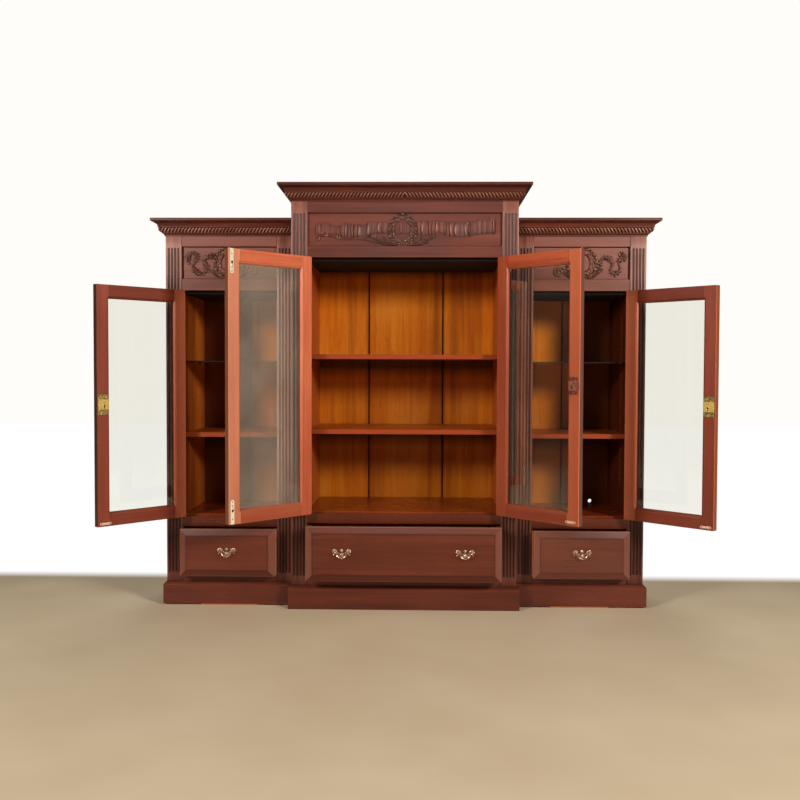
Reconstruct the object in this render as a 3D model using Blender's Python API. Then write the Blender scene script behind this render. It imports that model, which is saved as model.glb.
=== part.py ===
# Breakfront bookcase in carved mahogany: a tall centre section between two lower, set back wings.
# Four glazed doors stand open and three drawers stand pulled out, as in the photograph.
# Frame: metres, +Z up, front towards -Y, origin on the floor at the middle of the centre front.

import math

import bmesh
import bpy
from mathutils import Matrix, Vector

# Plan
centre_width = 0.888
centre_cheek = 0.064
wing_width = 0.5085
wing_cheek = 0.065
wing_setback = 0.056
case_depth = 0.445
back_thickness = 0.012

# Heights shared by the sections
plinth_height = 0.092
bottom_rail_height = 0.032
floor_lip = 0.0065
cornice_height = 0.065

# Heights of the centre section
centre_drawer_opening = 0.215
centre_rail_height = 0.0375
centre_door_opening = 1.0065
centre_frieze_low_rail = 0.043
centre_frieze_field = 0.131
centre_frieze_top_rail = 0.044

# Heights of the wings
wing_drawer_opening = 0.190
wing_rail_height = 0.041
wing_door_opening = 0.903
wing_frieze_low_rail = 0.045
wing_frieze_field = 0.129
wing_frieze_top_rail = 0.041

# Clearances
seat = 0.0003
joint_gap = 0.0015
closing_gap = 0.0025
meeting_gap = 0.001
shelf_end_gap = 0.001
overrun = 0.004
bite = 0.002
shallow_bite = 0.0005
merge_distance = 0.000002
facing = 0.9

# Plinth
plinth_projection = 0.012
plinth_chamfer = 0.010
plinth_wall = 0.020
plinth_deck = 0.016
levelling_strip = 0.005
levelling_strip_width = 0.230

# Pilasters
pilaster_width = 0.063
pilaster_thickness = 0.008
flute_count = 4
flute_pitch = 0.0128
flute_width = 0.0088
flute_depth = 0.0034
flute_low_margin = 0.036
flute_top_margin = 0.047
flute_sides = 12
flute_end_rings = 5

# Rails, frieze and floors
rail_setback = 0.002
rail_thickness = 0.022
stop_setback = 0.026
frieze_sink = 0.010
frieze_slope = 0.003
ceiling_drop = 0.012
ceiling_thickness = 0.024
floor_thickness = 0.020

# Cornice, as overhang and height above its foot
cornice_overhang = 0.048
foot_overhang = 0.003
foot_height = 0.004
ogee_overhang = 0.010
ogee_height = 0.009
rope_inner_overhang = 0.013
rope_low = 0.0115
rope_high = 0.0305
rope_tilt = 0.008
rope_swell = 0.006
rope_steps = 6
cove_low = 0.0325
cove_high = 0.0515
cove_inner_overhang = 0.025
cove_outer_overhang = 0.041
cove_steps = 5
fillet_low = 0.0545

# Back boards
board_gap = 0.003
board_tongue = 0.005
centre_board_width = 0.323
wing_first_board = 0.173
cable_hole_radius = 0.0085
cable_hole_inset = 0.0775
cable_hole_rise = 0.0105
cable_hole_sides = 16

# Shelves
wood_shelf_thickness = 0.018
glass_shelf_thickness = 0.006
shelf_setback = 0.040
shelf_back_gap = 0.004
centre_low_shelf_top = 0.707
centre_high_shelf_top = 1.005
wing_wood_shelf_top = 0.689
wing_glass_shelf_top = 0.9785
peg_radius = 0.0028
peg_reach = 0.009
peg_inset = 0.105
peg_sides = 8

# Doors
door_thickness = 0.025
stile_width = 0.051
face_width = 0.0425
ovolo_width = 0.006
ovolo_depth = 0.0045
ovolo_steps = 3
glass_face = 0.0100
glass_thickness = 0.003
groove_depth = 0.005
bead_lip = 0.002
bead_steps = 3
left_wing_angle = 134.0
centre_left_angle = 135.5
centre_right_angle = 136.5
right_wing_angle = 136.0

# Hinges
hinge_offset = 0.005
knuckle_radius = 0.0042
knuckle_sides = 12
knuckle_length = 0.030
knuckle_end_length = 0.014
leaf_thickness = 0.0026
leaf_depth = 0.016
hinge_inset = 0.110

# Door locks
wing_lock_width = 0.041
wing_lock_plate_height = 0.076
wing_lock_inset = 0.0025
centre_lock_width = 0.036
centre_lock_plate_height = 0.063
centre_lock_inset = 0.0075
lock_body_height = 0.038
lock_plate_thickness = 0.0015
lock_body_thickness = 0.008
lock_round = 0.0012
lock_round_steps = 2
lock_edge_gap = 0.001
keyhole_drop = 0.004
lock_bolt_height = 0.014
lock_bolt_thickness = 0.0035
lock_bolt_length = 0.022
keyhole_radius = 0.0022
keyhole_slot = 0.007
keyhole_slot_width = 0.0022
keyhole_sides = 12
wing_lock_height = 0.457
centre_lock_height = 0.512
strike_depth = 0.010

# Flush bolts
flush_bolt_width = 0.009
flush_bolt_thickness = 0.004
flush_bolt_length = 0.078
flush_bolt_travel = 0.010
flush_bolt_inset = 0.009
flush_knob_radius = 0.0035
flush_knob_height = 0.0035
flush_knob_share = 0.25
flush_knob_sides = 12

# Drawers
drawer_gap = 0.0015
front_edge_setback = 0.005
front_thickness = 0.018
bevel_width = 0.025
bevel_rise = 0.0075
field_step = 0.0015
box_side = 0.012
box_bottom = 0.006
box_bottom_raise = 0.006
box_height_drop = 0.012
box_rear_gap = 0.020
runner_width = 0.016
runner_height = 0.016
centre_drawer_pull_out = 0.080
wing_drawer_pull_out = 0.061

# Drawer pulls
pull_width = 0.076
pull_height = 0.044
plate_thickness = 0.0022
post_spread = 0.048
post_radius = 0.0036
post_length = 0.015
post_sides = 12
pivot_raise = 0.0065
pivot_reach = 0.0115
bail_radius = 0.0021
bail_drop = 0.0205
bail_flare = 0.0015
bail_steps = 6
centre_pull_share = 0.625
pull_lift = 0.003

# Derived plan
centre_half = centre_width / 2
centre_open = centre_half - centre_cheek
wing_inner = centre_half
centre_pull_offset = centre_open * centre_pull_share
wing_open_in = wing_inner + wing_cheek
wing_outer = centre_half + wing_width
wing_open_out = wing_outer - wing_cheek
back_front = case_depth
back_rear = case_depth + back_thickness

# Derived heights
drawer_floor = plinth_height + bottom_rail_height


def section_levels(drawer, rail, door, low_rail, field, top_rail):
    levels = {}
    levels["drawer_top"] = drawer_floor + drawer
    levels["rail_top"] = levels["drawer_top"] + rail
    levels["floor"] = levels["rail_top"] + floor_lip
    levels["door_top"] = levels["rail_top"] + door
    levels["field_low"] = levels["door_top"] + low_rail
    levels["field_high"] = levels["field_low"] + field
    levels["cornice"] = levels["field_high"] + top_rail
    levels["ceiling"] = levels["door_top"] - ceiling_drop
    return levels


centre_levels = section_levels(
    centre_drawer_opening,
    centre_rail_height,
    centre_door_opening,
    centre_frieze_low_rail,
    centre_frieze_field,
    centre_frieze_top_rail,
)
wing_levels = section_levels(
    wing_drawer_opening,
    wing_rail_height,
    wing_door_opening,
    wing_frieze_low_rail,
    wing_frieze_field,
    wing_frieze_top_rail,
)


# Scene and collections
for old in list(bpy.data.objects):
    bpy.data.objects.remove(old)

parts = bpy.data.collections.new("bookcase")
guides = bpy.data.collections.new("cutters")
bpy.context.scene.collection.children.link(parts)
bpy.context.scene.collection.children.link(guides)


def finish_material(name, colour, roughness, metallic=0.0, clear=0.0):
    finish = bpy.data.materials.new(name)
    finish.use_nodes = True
    shader = finish.node_tree.nodes["Principled BSDF"]
    shader.inputs["Base Color"].default_value = (*colour, 1.0)
    shader.inputs["Roughness"].default_value = roughness
    shader.inputs["Metallic"].default_value = metallic
    shader.inputs["Transmission Weight"].default_value = clear
    return finish


def own_material(node, kind):
    colour, roughness, metallic, clear = finishes[kind]
    return finish_material(node + "_finish", colour, roughness, metallic, clear)


finishes = {
    "mahogany": ((0.13, 0.035, 0.022), 0.35, 0.0, 0.0),
    "red_mahogany": ((0.21, 0.055, 0.030), 0.35, 0.0, 0.0),
    "amber_wood": ((0.50, 0.17, 0.035), 0.45, 0.0, 0.0),
    "drawer_wood": ((0.42, 0.25, 0.12), 0.65, 0.0, 0.0),
    "glass": ((0.90, 0.96, 0.93), 0.05, 0.0, 1.0),
    "bright_brass": ((0.62, 0.44, 0.15), 0.30, 1.0, 0.0),
    "antique_brass": ((0.36, 0.25, 0.11), 0.42, 1.0, 0.0),
    "dark_bronze": ((0.12, 0.08, 0.05), 0.45, 1.0, 0.0),
}


# Modelling helpers
def link(name, data, group, parent=None):
    thing = bpy.data.objects.new(name, data)
    group.objects.link(thing)
    thing.parent = parent
    return thing


def part(name, bm, kind, parent=None):
    mesh = bpy.data.meshes.new(name)
    bmesh.ops.recalc_face_normals(bm, faces=bm.faces)
    bm.to_mesh(mesh)
    bm.free()
    mesh.materials.append(own_material(name, kind))
    return link(name, mesh, parts, parent)


def guide(name, bm, parent=None):
    mesh = bpy.data.meshes.new(name)
    bmesh.ops.recalc_face_normals(bm, faces=bm.faces)
    bm.to_mesh(mesh)
    bm.free()
    thing = link(name, mesh, guides, parent)
    thing.hide_render = True
    thing.display_type = "WIRE"
    return thing


def combine(piece, other, operation):
    step = piece.modifiers.new(operation.lower(), "BOOLEAN")
    step.operation = operation
    step.solver = "EXACT"
    step.object = other


def cut(piece, other):
    combine(piece, other, "DIFFERENCE")


def fuse(piece, other):
    combine(piece, other, "UNION")


def add_block(bm, low, high):
    corners = [Vector(low), Vector(high)]
    first = Vector([min(pair) for pair in zip(*corners)])
    last = Vector([max(pair) for pair in zip(*corners)])
    place = Matrix.Translation((first + last) / 2) @ Matrix.Diagonal((*(last - first), 1.0))
    return bmesh.ops.create_cube(bm, size=1.0, matrix=place)["verts"]


def add_rod(bm, start, end, radius, sides):
    start = Vector(start)
    run = Vector(end) - start
    turn = Vector((0, 0, 1)).rotation_difference(run).to_matrix().to_4x4()
    place = Matrix.Translation(start + run / 2) @ turn
    bmesh.ops.create_cone(
        bm,
        cap_ends=True,
        segments=sides,
        radius1=radius,
        radius2=radius,
        depth=run.length,
        matrix=place,
    )


def add_round_end_flute(bm, centre, length, radius):
    # A sphere without a vertex ring at its equator, pulled apart into a round ended rod.
    place = Matrix.Translation(centre)
    rings = bmesh.ops.create_uvsphere(
        bm, u_segments=flute_sides, v_segments=flute_end_rings, radius=radius, matrix=place
    )["verts"]
    for corner in rings:
        rise = length / 2 - radius
        corner.co.z += rise if corner.co.z > centre[2] else -rise


def blocks(*pairs):
    bm = bmesh.new()
    for low, high in pairs:
        add_block(bm, low, high)
    return bm


def flat_curve(name, outline, group):
    data = bpy.data.curves.new(name, "CURVE")
    data.dimensions = "2D"
    data.fill_mode = "BOTH"
    spline = data.splines.new("POLY")
    spline.points.add(len(outline) - 1)
    for point, (across, up) in zip(spline.points, outline):
        point.co = (across, up, 0.0, 1.0)
    spline.use_cyclic_u = True
    return link(name, data, group)


def curve_to_bmesh(thing, extra=()):
    bpy.context.view_layer.update()
    graph = bpy.context.evaluated_depsgraph_get()
    mesh = bpy.data.meshes.new_from_object(thing.evaluated_get(graph))
    bm = bmesh.new()
    bm.from_mesh(mesh)
    bmesh.ops.remove_doubles(bm, verts=bm.verts, dist=merge_distance)
    bpy.data.meshes.remove(mesh)
    for used in (thing, *extra):
        bpy.data.objects.remove(used)
    return bm


def extruded(outline, thickness):
    # A flat outline in the plane of X and Y, standing from 0 to its thickness along Z.
    thing = flat_curve("outline", outline, guides)
    thing.data.extrude = thickness / 2
    bm = curve_to_bmesh(thing)
    bmesh.ops.translate(bm, verts=bm.verts, vec=(0, 0, thickness / 2))
    return bm


def along_x(outline, start, end):
    # A cross-section in Y and Z, extruded along X between two places.
    bm = extruded(outline, abs(end - start))
    turn = Matrix(((0, 0, 1, min(start, end)), (1, 0, 0, 0), (0, 1, 0, 0), (0, 0, 0, 1)))
    bm.transform(turn)
    return bm


def stand_up(bm, flip=1):
    # Turns a plan of X and Y into a front view of X and Z, with the old Z running back along Y.
    bm.transform(Matrix(((flip, 0, 0, 0), (0, 0, 1, 0), (0, 1, 0, 0), (0, 0, 0, 1))))


def moulded_ring(width, height, profile):
    # A profile swept round a rectangle with mitred corners. Its X runs inwards, its Y runs back.
    corners = [(0, 0), (width, 0), (width, height), (0, height)]
    path = flat_curve("path", corners, guides)
    path.data.fill_mode = "NONE"
    shape = flat_curve("profile", profile, guides)
    path.data.bevel_mode = "OBJECT"
    path.data.bevel_object = shape
    return curve_to_bmesh(path, (shape,))


# Uprights, with their shelf pegs and drawer runners
def add_pegs(bm, wall, toward, front, shelf_undersides):
    for underside in shelf_undersides:
        for depth in (front + shelf_setback + peg_inset, back_front - shelf_back_gap - peg_inset):
            height = underside - seat - peg_radius
            start = (wall - toward * bite, depth, height)
            end = (wall + toward * peg_reach, depth, height)
            add_rod(bm, start, end, peg_radius, peg_sides)


def add_runner(bm, wall, toward, front):
    top = drawer_floor - seat
    rail_rear = front + rail_setback + rail_thickness
    low = (wall - toward * bite, rail_rear + bite, top - runner_height)
    high = (wall + toward * runner_width, back_front - shelf_back_gap, top)
    add_block(bm, low, high)


centre_shelf_undersides = (
    centre_low_shelf_top - wood_shelf_thickness,
    centre_high_shelf_top - wood_shelf_thickness,
)
wing_shelf_undersides = (
    wing_wood_shelf_top - wood_shelf_thickness,
    wing_glass_shelf_top - glass_shelf_thickness,
)


def build_end_upright(name, side):
    front = wing_setback + pilaster_thickness + seat
    foot = plinth_height + seat
    head = wing_levels["cornice"] - seat
    body = blocks(((side * wing_open_out, front, foot), (side * wing_outer, back_front - seat, head)))
    piece = part(name, body, "mahogany")
    fittings = bmesh.new()
    add_pegs(fittings, side * wing_open_out, -side, wing_setback, wing_shelf_undersides)
    add_runner(fittings, side * wing_open_out, -side, wing_setback)
    fuse(piece, guide(name + "_fittings", fittings))


def build_divider(name, side):
    foot = plinth_height + seat
    rear = back_front - seat
    inner_low = (side * centre_open, pilaster_thickness + seat, foot)
    inner_high = (side * centre_half, rear, centre_levels["cornice"] - seat)
    piece = part(name, blocks((inner_low, inner_high)), "mahogany")
    outer_low = (side * (centre_half - bite), wing_setback + pilaster_thickness + seat, foot)
    outer_high = (side * wing_open_in, rear, wing_levels["cornice"] - seat)
    fuse(piece, guide(name + "_wing_half", blocks((outer_low, outer_high))))
    fittings = bmesh.new()
    add_pegs(fittings, side * centre_open, -side, 0, centre_shelf_undersides)
    add_pegs(fittings, side * wing_open_in, side, wing_setback, wing_shelf_undersides)
    add_runner(fittings, side * centre_open, -side, 0)
    add_runner(fittings, side * wing_open_in, side, wing_setback)
    fuse(piece, guide(name + "_fittings", fittings))
    cut(piece, guide(name + "_strike", blocks(wing_strike_corners(side))))


# Fluted pilasters
def hinge_heights(levels):
    low = levels["rail_top"] + hinge_inset
    high = levels["door_top"] - hinge_inset
    return (low, high)


def add_fixed_knuckles(bm, axis_x, axis_y, levels):
    # The case half of each butt hinge: two end knuckles on a leaf let into the pilaster's edge.
    for height in hinge_heights(levels):
        for sign in (-1, 1):
            near = height + sign * (knuckle_length / 2 + seat)
            far = near + sign * knuckle_end_length
            add_rod(bm, (axis_x, axis_y, near), (axis_x, axis_y, far), knuckle_radius, knuckle_sides)


def add_fixed_leaves(bm, axis_x, axis_y, toward, levels, leaf_rear):
    for height in hinge_heights(levels):
        for sign in (-1, 1):
            near = height + sign * (knuckle_length / 2 + seat)
            far = near + sign * knuckle_end_length
            low = (axis_x - toward * leaf_thickness, axis_y, near)
            high = (axis_x - toward * seat, leaf_rear, far)
            add_block(bm, low, high)


def build_pilaster(name, middle, front, levels, hinge_edge=0):
    foot = plinth_height + seat
    head = levels["cornice"] - seat
    half = pilaster_width / 2
    body = blocks(((middle - half, front, foot), (middle + half, front + pilaster_thickness, head)))
    piece = part(name, body, "mahogany")
    radius = (flute_width * flute_width / 4 + flute_depth * flute_depth) / (2 * flute_depth)
    low = foot + flute_low_margin
    high = head - flute_top_margin
    flutes = bmesh.new()
    for index in range(flute_count):
        across = middle + (index - (flute_count - 1) / 2) * flute_pitch
        centre = (across, front + flute_depth - radius, (low + high) / 2)
        add_round_end_flute(flutes, centre, high - low, radius)
    cut(piece, guide(name + "_flutes", flutes))
    if hinge_edge:
        # The fixed leaves are let into the pilaster's edge, with their knuckles in front of it.
        toward = -math.copysign(1, hinge_edge)
        axis_y = front - hinge_offset
        leaves = bmesh.new()
        add_fixed_leaves(leaves, hinge_edge, axis_y, toward, levels, front + pilaster_thickness)
        fuse(piece, guide(name + "_leaves", leaves))
        knuckles = bmesh.new()
        add_fixed_knuckles(knuckles, hinge_edge, axis_y, levels)
        fuse(piece, guide(name + "_knuckles", knuckles))


# Plinths, each a boxed base with a deck and the rail under its drawer
def chamfer_top(bm, height, faces_out):
    # Chamfers the top edges whose faces look along the given directions.
    edges = []
    for edge in bm.edges:
        level = all(abs(corner.co.z - height) < seat for corner in edge.verts)
        if not level:
            continue
        for face in edge.link_faces:
            if any(face.normal.dot(Vector(way)) > facing for way in faces_out):
                edges.append(edge)
    bmesh.ops.bevel(bm, geom=list(set(edges)), offset=plinth_chamfer, segments=1, affect="EDGES")


def build_centre_plinth():
    half = centre_half + plinth_projection
    join = wing_setback - plinth_projection - seat
    front_block = blocks(((-half, -plinth_projection, 0), (half, join, plinth_height)))
    bmesh.ops.recalc_face_normals(front_block, faces=front_block.faces)
    chamfer_top(front_block, plinth_height, ((0, -1, 0), (1, 0, 0), (-1, 0, 0)))
    piece = part("centre_plinth", front_block, "mahogany")
    inner = centre_half - seat
    rear_block = blocks(((-inner, join - bite, 0), (inner, back_rear, plinth_height)))
    fuse(piece, guide("centre_plinth_rear", rear_block))
    add_rail_under_drawer(piece, "centre_plinth", -centre_open, centre_open, 0)
    hollow_low = (-(inner - plinth_wall), -plinth_projection + plinth_wall, -overrun)
    hollow_high = (inner - plinth_wall, back_rear - plinth_wall, plinth_height - plinth_deck)
    cut(piece, guide("centre_plinth_hollow", blocks((hollow_low, hollow_high))))


def build_wing_plinth(name, side):
    near = side * (wing_inner + seat)
    far = side * (wing_outer + plinth_projection)
    front = wing_setback - plinth_projection
    body = blocks(((near, front, levelling_strip), (far, back_rear, plinth_height)))
    bmesh.ops.recalc_face_normals(body, faces=body.faces)
    chamfer_top(body, plinth_height, ((0, -1, 0), (side, 0, 0)))
    piece = part(name, body, "mahogany")
    add_rail_under_drawer(piece, name, side * wing_open_in, side * wing_open_out, wing_setback)
    hollow_low = (near + side * plinth_wall, front + plinth_wall, -overrun)
    hollow_high = (far - side * plinth_wall, back_rear - plinth_wall, plinth_height - plinth_deck)
    cut(piece, guide(name + "_hollow", blocks((hollow_low, hollow_high))))
    middle = side * (wing_open_in + wing_open_out) / 2
    strips = bmesh.new()
    add_levelling_strip(strips, middle, front)
    fuse(piece, guide(name + "_levelling", strips))


def add_levelling_strip(bm, middle, front):
    half = levelling_strip_width / 2
    low = (middle - half, front + bite, 0)
    high = (middle + half, front + plinth_wall - bite, levelling_strip + bite)
    add_block(bm, low, high)
    rear_low = (middle - half, back_rear - plinth_wall + bite, 0)
    rear_high = (middle + half, back_rear - bite, levelling_strip + bite)
    add_block(bm, rear_low, rear_high)


def add_rail_under_drawer(piece, name, start, end, front):
    first, last = sorted((start, end))
    outline = [
        (front + rail_setback, plinth_height - bite),
        (front + rail_setback + rail_thickness, plinth_height - bite),
        (front + rail_setback + rail_thickness, drawer_floor - seat),
        (front + rail_setback, drawer_floor - seat),
    ]
    rail = along_x(outline, first + seat, last - seat)
    fuse(piece, guide(name + "_rail", rail))


# Cupboard floors with the rail above the drawer
def build_floor(name, start, end, front, levels, takes_bolt=False):
    first, last = sorted((start, end))
    face = front + rail_setback
    stop = front + stop_setback
    outline = [
        (face, levels["drawer_top"]),
        (face + rail_thickness, levels["drawer_top"]),
        (face + rail_thickness, levels["floor"] - floor_thickness),
        (back_front - seat, levels["floor"] - floor_thickness),
        (back_front - seat, levels["floor"]),
        (stop, levels["floor"]),
        (stop, levels["rail_top"]),
        (face, levels["rail_top"]),
    ]
    piece = part(name, along_x(outline, first + seat, last - seat), "red_mahogany")
    if takes_bolt:
        cut(piece, guide(name + "_strike", blocks(flush_strike_corners(levels["rail_top"], -1))))


# Friezes, each two rails round a sunk field, with the cupboard's ceiling board behind
def build_frieze(name, start, end, front, levels, takes_bolt=False):
    first, last = sorted((start, end))
    face = front + rail_setback
    stop = front + stop_setback
    sunk = face + frieze_sink
    outline = [
        (face, levels["door_top"]),
        (stop, levels["door_top"]),
        (stop, levels["ceiling"]),
        (back_front - seat, levels["ceiling"]),
        (back_front - seat, levels["ceiling"] + ceiling_thickness),
        (stop, levels["ceiling"] + ceiling_thickness),
        (stop, levels["cornice"] - seat),
        (face, levels["cornice"] - seat),
        (face, levels["field_high"]),
        (sunk, levels["field_high"] - frieze_slope),
        (sunk, levels["field_low"] + frieze_slope),
        (face, levels["field_low"]),
    ]
    piece = part(name, along_x(outline, first + seat, last - seat), "mahogany")
    if takes_bolt:
        cut(piece, guide(name + "_strike", blocks(flush_strike_corners(levels["door_top"], 1))))


# Cornices, built up ring by ring from the foot to the top fillet
def cornice_profile():
    rope = []
    for step in range(rope_steps + 1):
        share = step / rope_steps
        out = rope_inner_overhang + rope_tilt * share + rope_swell * math.sin(math.pi * share)
        rope.append((out, rope_low + (rope_high - rope_low) * share))
    cove = []
    for step in range(cove_steps + 1):
        turn = math.pi / 2 * step / cove_steps
        out = cove_inner_overhang + (cove_outer_overhang - cove_inner_overhang) * (1 - math.cos(turn))
        cove.append((out, cove_low + (cove_high - cove_low) * math.sin(turn)))
    foot = [(foot_overhang, 0), (foot_overhang, foot_height), (ogee_overhang, ogee_height)]
    fillet = [(cornice_overhang, fillet_low), (cornice_overhang, cornice_height)]
    return foot + rope + cove + [(cove_outer_overhang, fillet_low)] + fillet


def place_ring(corners, left, right, front, rear, height):
    middle = sum((corner.co for corner in corners), Vector()) / len(corners)
    for corner in corners:
        corner.co.x = left if corner.co.x < middle.x else right
        corner.co.y = front if corner.co.y < middle.y else rear
        corner.co.z = height


def build_cornice(name, left, right, front, foot, left_return, right_return):
    # Each later ring is extruded from the one below it. Only the first face stays, as the underside.
    bm = bmesh.new()
    sheet = bmesh.ops.create_grid(bm, x_segments=1, y_segments=1, size=cornice_height)
    face = sheet["verts"][0].link_faces[0]
    for index, (out, rise) in enumerate(cornice_profile()):
        if index:
            grown = bmesh.ops.extrude_face_region(bm, geom=[face])["geom"]
            if index > 1:
                bmesh.ops.delete(bm, geom=[face], context="FACES_ONLY")
            face = [item for item in grown if isinstance(item, bmesh.types.BMFace)][0]
        ends = (left - out * left_return, right + out * right_return)
        place_ring(list(face.verts), *ends, front - out, back_rear, foot + rise)
    part(name, bm, "mahogany")


# One back of vertical tongued boards
def build_back():
    low = plinth_height + seat
    centre_top = centre_levels["cornice"] - seat
    wing_top = wing_levels["cornice"] - seat
    outline = [
        (-wing_outer, low),
        (wing_outer, low),
        (wing_outer, wing_top),
        (centre_half, wing_top),
        (centre_half, centre_top),
        (-centre_half, centre_top),
        (-centre_half, wing_top),
        (-wing_outer, wing_top),
    ]
    bm = extruded(outline, back_thickness)
    stand_up(bm)
    bmesh.ops.translate(bm, verts=bm.verts, vec=(0, back_front, 0))
    piece = part("back_boards", bm, "amber_wood")
    gaps = [-centre_board_width / 2, centre_board_width / 2]
    gaps += [side * (wing_open_in + wing_first_board) for side in (-1, 1)]
    grooves = bmesh.new()
    for place in gaps:
        top = centre_top if abs(place) < centre_half else wing_top
        first = (place - board_gap / 2, back_front - overrun, low - overrun)
        last = (place + board_gap / 2, back_rear - board_tongue, top + overrun)
        add_block(grooves, first, last)
    cut(piece, guide("back_board_gaps", grooves))
    # A cable hole, drilled just above the floor of the right wing.
    hole_x = wing_open_out - cable_hole_inset
    hole_z = wing_levels["floor"] + cable_hole_rise
    drill = bmesh.new()
    start = (hole_x, back_front - overrun, hole_z)
    end = (hole_x, back_rear + overrun, hole_z)
    add_rod(drill, start, end, cable_hole_radius, cable_hole_sides)
    cut(piece, guide("cable_hole", drill))


# Shelves
def build_shelf(name, start, end, front, top, thickness, kind):
    first, last = sorted((start, end))
    low = (first + shelf_end_gap, front + shelf_setback, top - thickness)
    high = (last - shelf_end_gap, back_front - shelf_back_gap, top)
    part(name, blocks((low, high)), kind)


# Doors. A leaf is modelled closed and reaching along +X or -X from its hinge axis.
def leaf_size(opening_width, free_gap, opening_height):
    width = opening_width - joint_gap - free_gap
    height = opening_height - closing_gap - joint_gap
    return width, height


centre_leaf = leaf_size(centre_open, meeting_gap, centre_door_opening)
wing_leaf = leaf_size(wing_open_out - wing_open_in, closing_gap, wing_door_opening)
leaf_front = hinge_offset + seat
leaf_rear_face = leaf_front + door_thickness


def door_axis(name, side, front, edge, angle):
    axis = link(name + "_axis", None, parts)
    axis.location = (side * edge, front - hinge_offset, 0)
    axis.rotation_euler = (0, 0, side * math.radians(angle))
    return axis


def frame_profile():
    groove_low = glass_face - seat
    groove_high = glass_face + glass_thickness + seat
    bead_top = door_thickness - bead_lip
    bead_width = stile_width - face_width
    bead_height = bead_top - groove_high
    outline = [(0, 0), (stile_width - ovolo_width, 0)]
    for step in range(1, ovolo_steps + 1):
        turn = math.pi / 2 * step / ovolo_steps
        across = stile_width - ovolo_width + ovolo_width * math.sin(turn)
        outline.append((across, ovolo_depth * (1 - math.cos(turn))))
    outline.append((stile_width, groove_low))
    outline.append((stile_width - groove_depth, groove_low))
    outline.append((stile_width - groove_depth, groove_high))
    for step in range(bead_steps + 1):
        turn = math.pi / 2 * step / bead_steps
        across = face_width + bead_width * math.cos(turn)
        outline.append((across, groove_high + bead_height * math.sin(turn)))
    outline.append((face_width, door_thickness))
    outline.append((0, door_thickness))
    return outline


def build_door(name, reach, axis, leaf, levels):
    width, height = leaf
    foot = levels["rail_top"] + closing_gap
    bm = moulded_ring(width, height, frame_profile())
    stand_up(bm)
    bmesh.ops.translate(bm, verts=bm.verts, vec=(joint_gap, leaf_front, foot))
    if reach < 0:
        bm.transform(Matrix.Diagonal((-1, 1, 1, 1)))
    frame = part(name + "_frame", bm, "red_mahogany", axis)
    leaves = bmesh.new()
    knuckles = bmesh.new()
    for middle in hinge_heights(levels):
        half = knuckle_length / 2
        low = (reach * seat, 0, middle - half)
        high = (reach * (joint_gap + leaf_thickness), leaf_front + leaf_depth, middle + half)
        add_block(leaves, low, high)
        add_rod(knuckles, (0, 0, middle - half), (0, 0, middle + half), knuckle_radius, knuckle_sides)
    fuse(frame, guide(name + "_leaves", leaves, axis))
    fuse(frame, guide(name + "_knuckles", knuckles, axis))
    pane_inset = stile_width - groove_depth + seat
    low = (reach * (joint_gap + pane_inset), leaf_front + glass_face, foot + pane_inset)
    high = (
        reach * (joint_gap + width - pane_inset),
        leaf_front + glass_face + glass_thickness,
        foot + height - pane_inset,
    )
    part(name + "_glass", blocks((low, high)), "glass", axis)
    return frame


# Box locks on the inner faces of three doors
wing_lock = (wing_lock_width, wing_lock_plate_height, wing_lock_inset, wing_lock_height)
centre_lock = (centre_lock_width, centre_lock_plate_height, centre_lock_inset, centre_lock_height)


def build_lock(name, reach, axis, leaf, levels, lock, kind):
    width, plate_height, inset, lock_height = lock
    free = reach * (joint_gap + leaf[0])
    middle = levels["rail_top"] + lock_height
    near = free - reach * inset
    far = near - reach * width
    face = leaf_rear_face + seat
    plate_half = plate_height / 2
    body_half = lock_body_height / 2
    plate_rear = face + lock_plate_thickness
    case = blocks(((near, face, middle - plate_half), (far, plate_rear, middle + plate_half)))
    piece = part(name + "_lock_case", case, kind, axis)
    low = (near, face + shallow_bite, middle - body_half)
    high = (far, face + lock_body_thickness, middle + body_half)
    body = blocks((low, high))
    bmesh.ops.recalc_face_normals(body, faces=body.faces)
    rear_edges = [edge for edge in body.edges if all(v.co.y > plate_rear for v in edge.verts)]
    bmesh.ops.bevel(body, geom=rear_edges, offset=lock_round, segments=lock_round_steps, affect="EDGES")
    fuse(piece, guide(name + "_lock_body", body, axis))
    bolt_half = lock_bolt_height / 2
    bolt_face = plate_rear + seat
    bolt_tip = free - reach * lock_edge_gap
    bolt_end = bolt_tip - reach * lock_bolt_length
    slot_low = (near + reach * overrun, bolt_face - seat, middle - bolt_half - seat)
    slot_high = (bolt_end - reach * seat, bolt_face + lock_bolt_thickness + seat, middle + bolt_half + seat)
    cut(piece, guide(name + "_bolt_slot", blocks((slot_low, slot_high)), axis))
    keyhole_x = (near + far) / 2
    keyhole_z = middle - keyhole_drop
    hole = bmesh.new()
    deep = bolt_face + lock_bolt_thickness + seat + shallow_bite
    high_y = face + lock_body_thickness + overrun
    add_rod(hole, (keyhole_x, deep, keyhole_z), (keyhole_x, high_y, keyhole_z), keyhole_radius, keyhole_sides)
    cut(piece, guide(name + "_keyhole", hole, axis))
    slot_half = keyhole_slot_width / 2
    slot = blocks((
        (keyhole_x - slot_half, deep, keyhole_z - keyhole_slot),
        (keyhole_x + slot_half, high_y, keyhole_z),
    ))
    cut(piece, guide(name + "_keyhole_slot", slot, axis))
    bolt_low = (bolt_tip, bolt_face, middle - bolt_half)
    bolt_high = (bolt_end, bolt_face + lock_bolt_thickness, middle + bolt_half)
    part(name + "_lock_bolt", blocks((bolt_low, bolt_high)), kind, axis)


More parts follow.
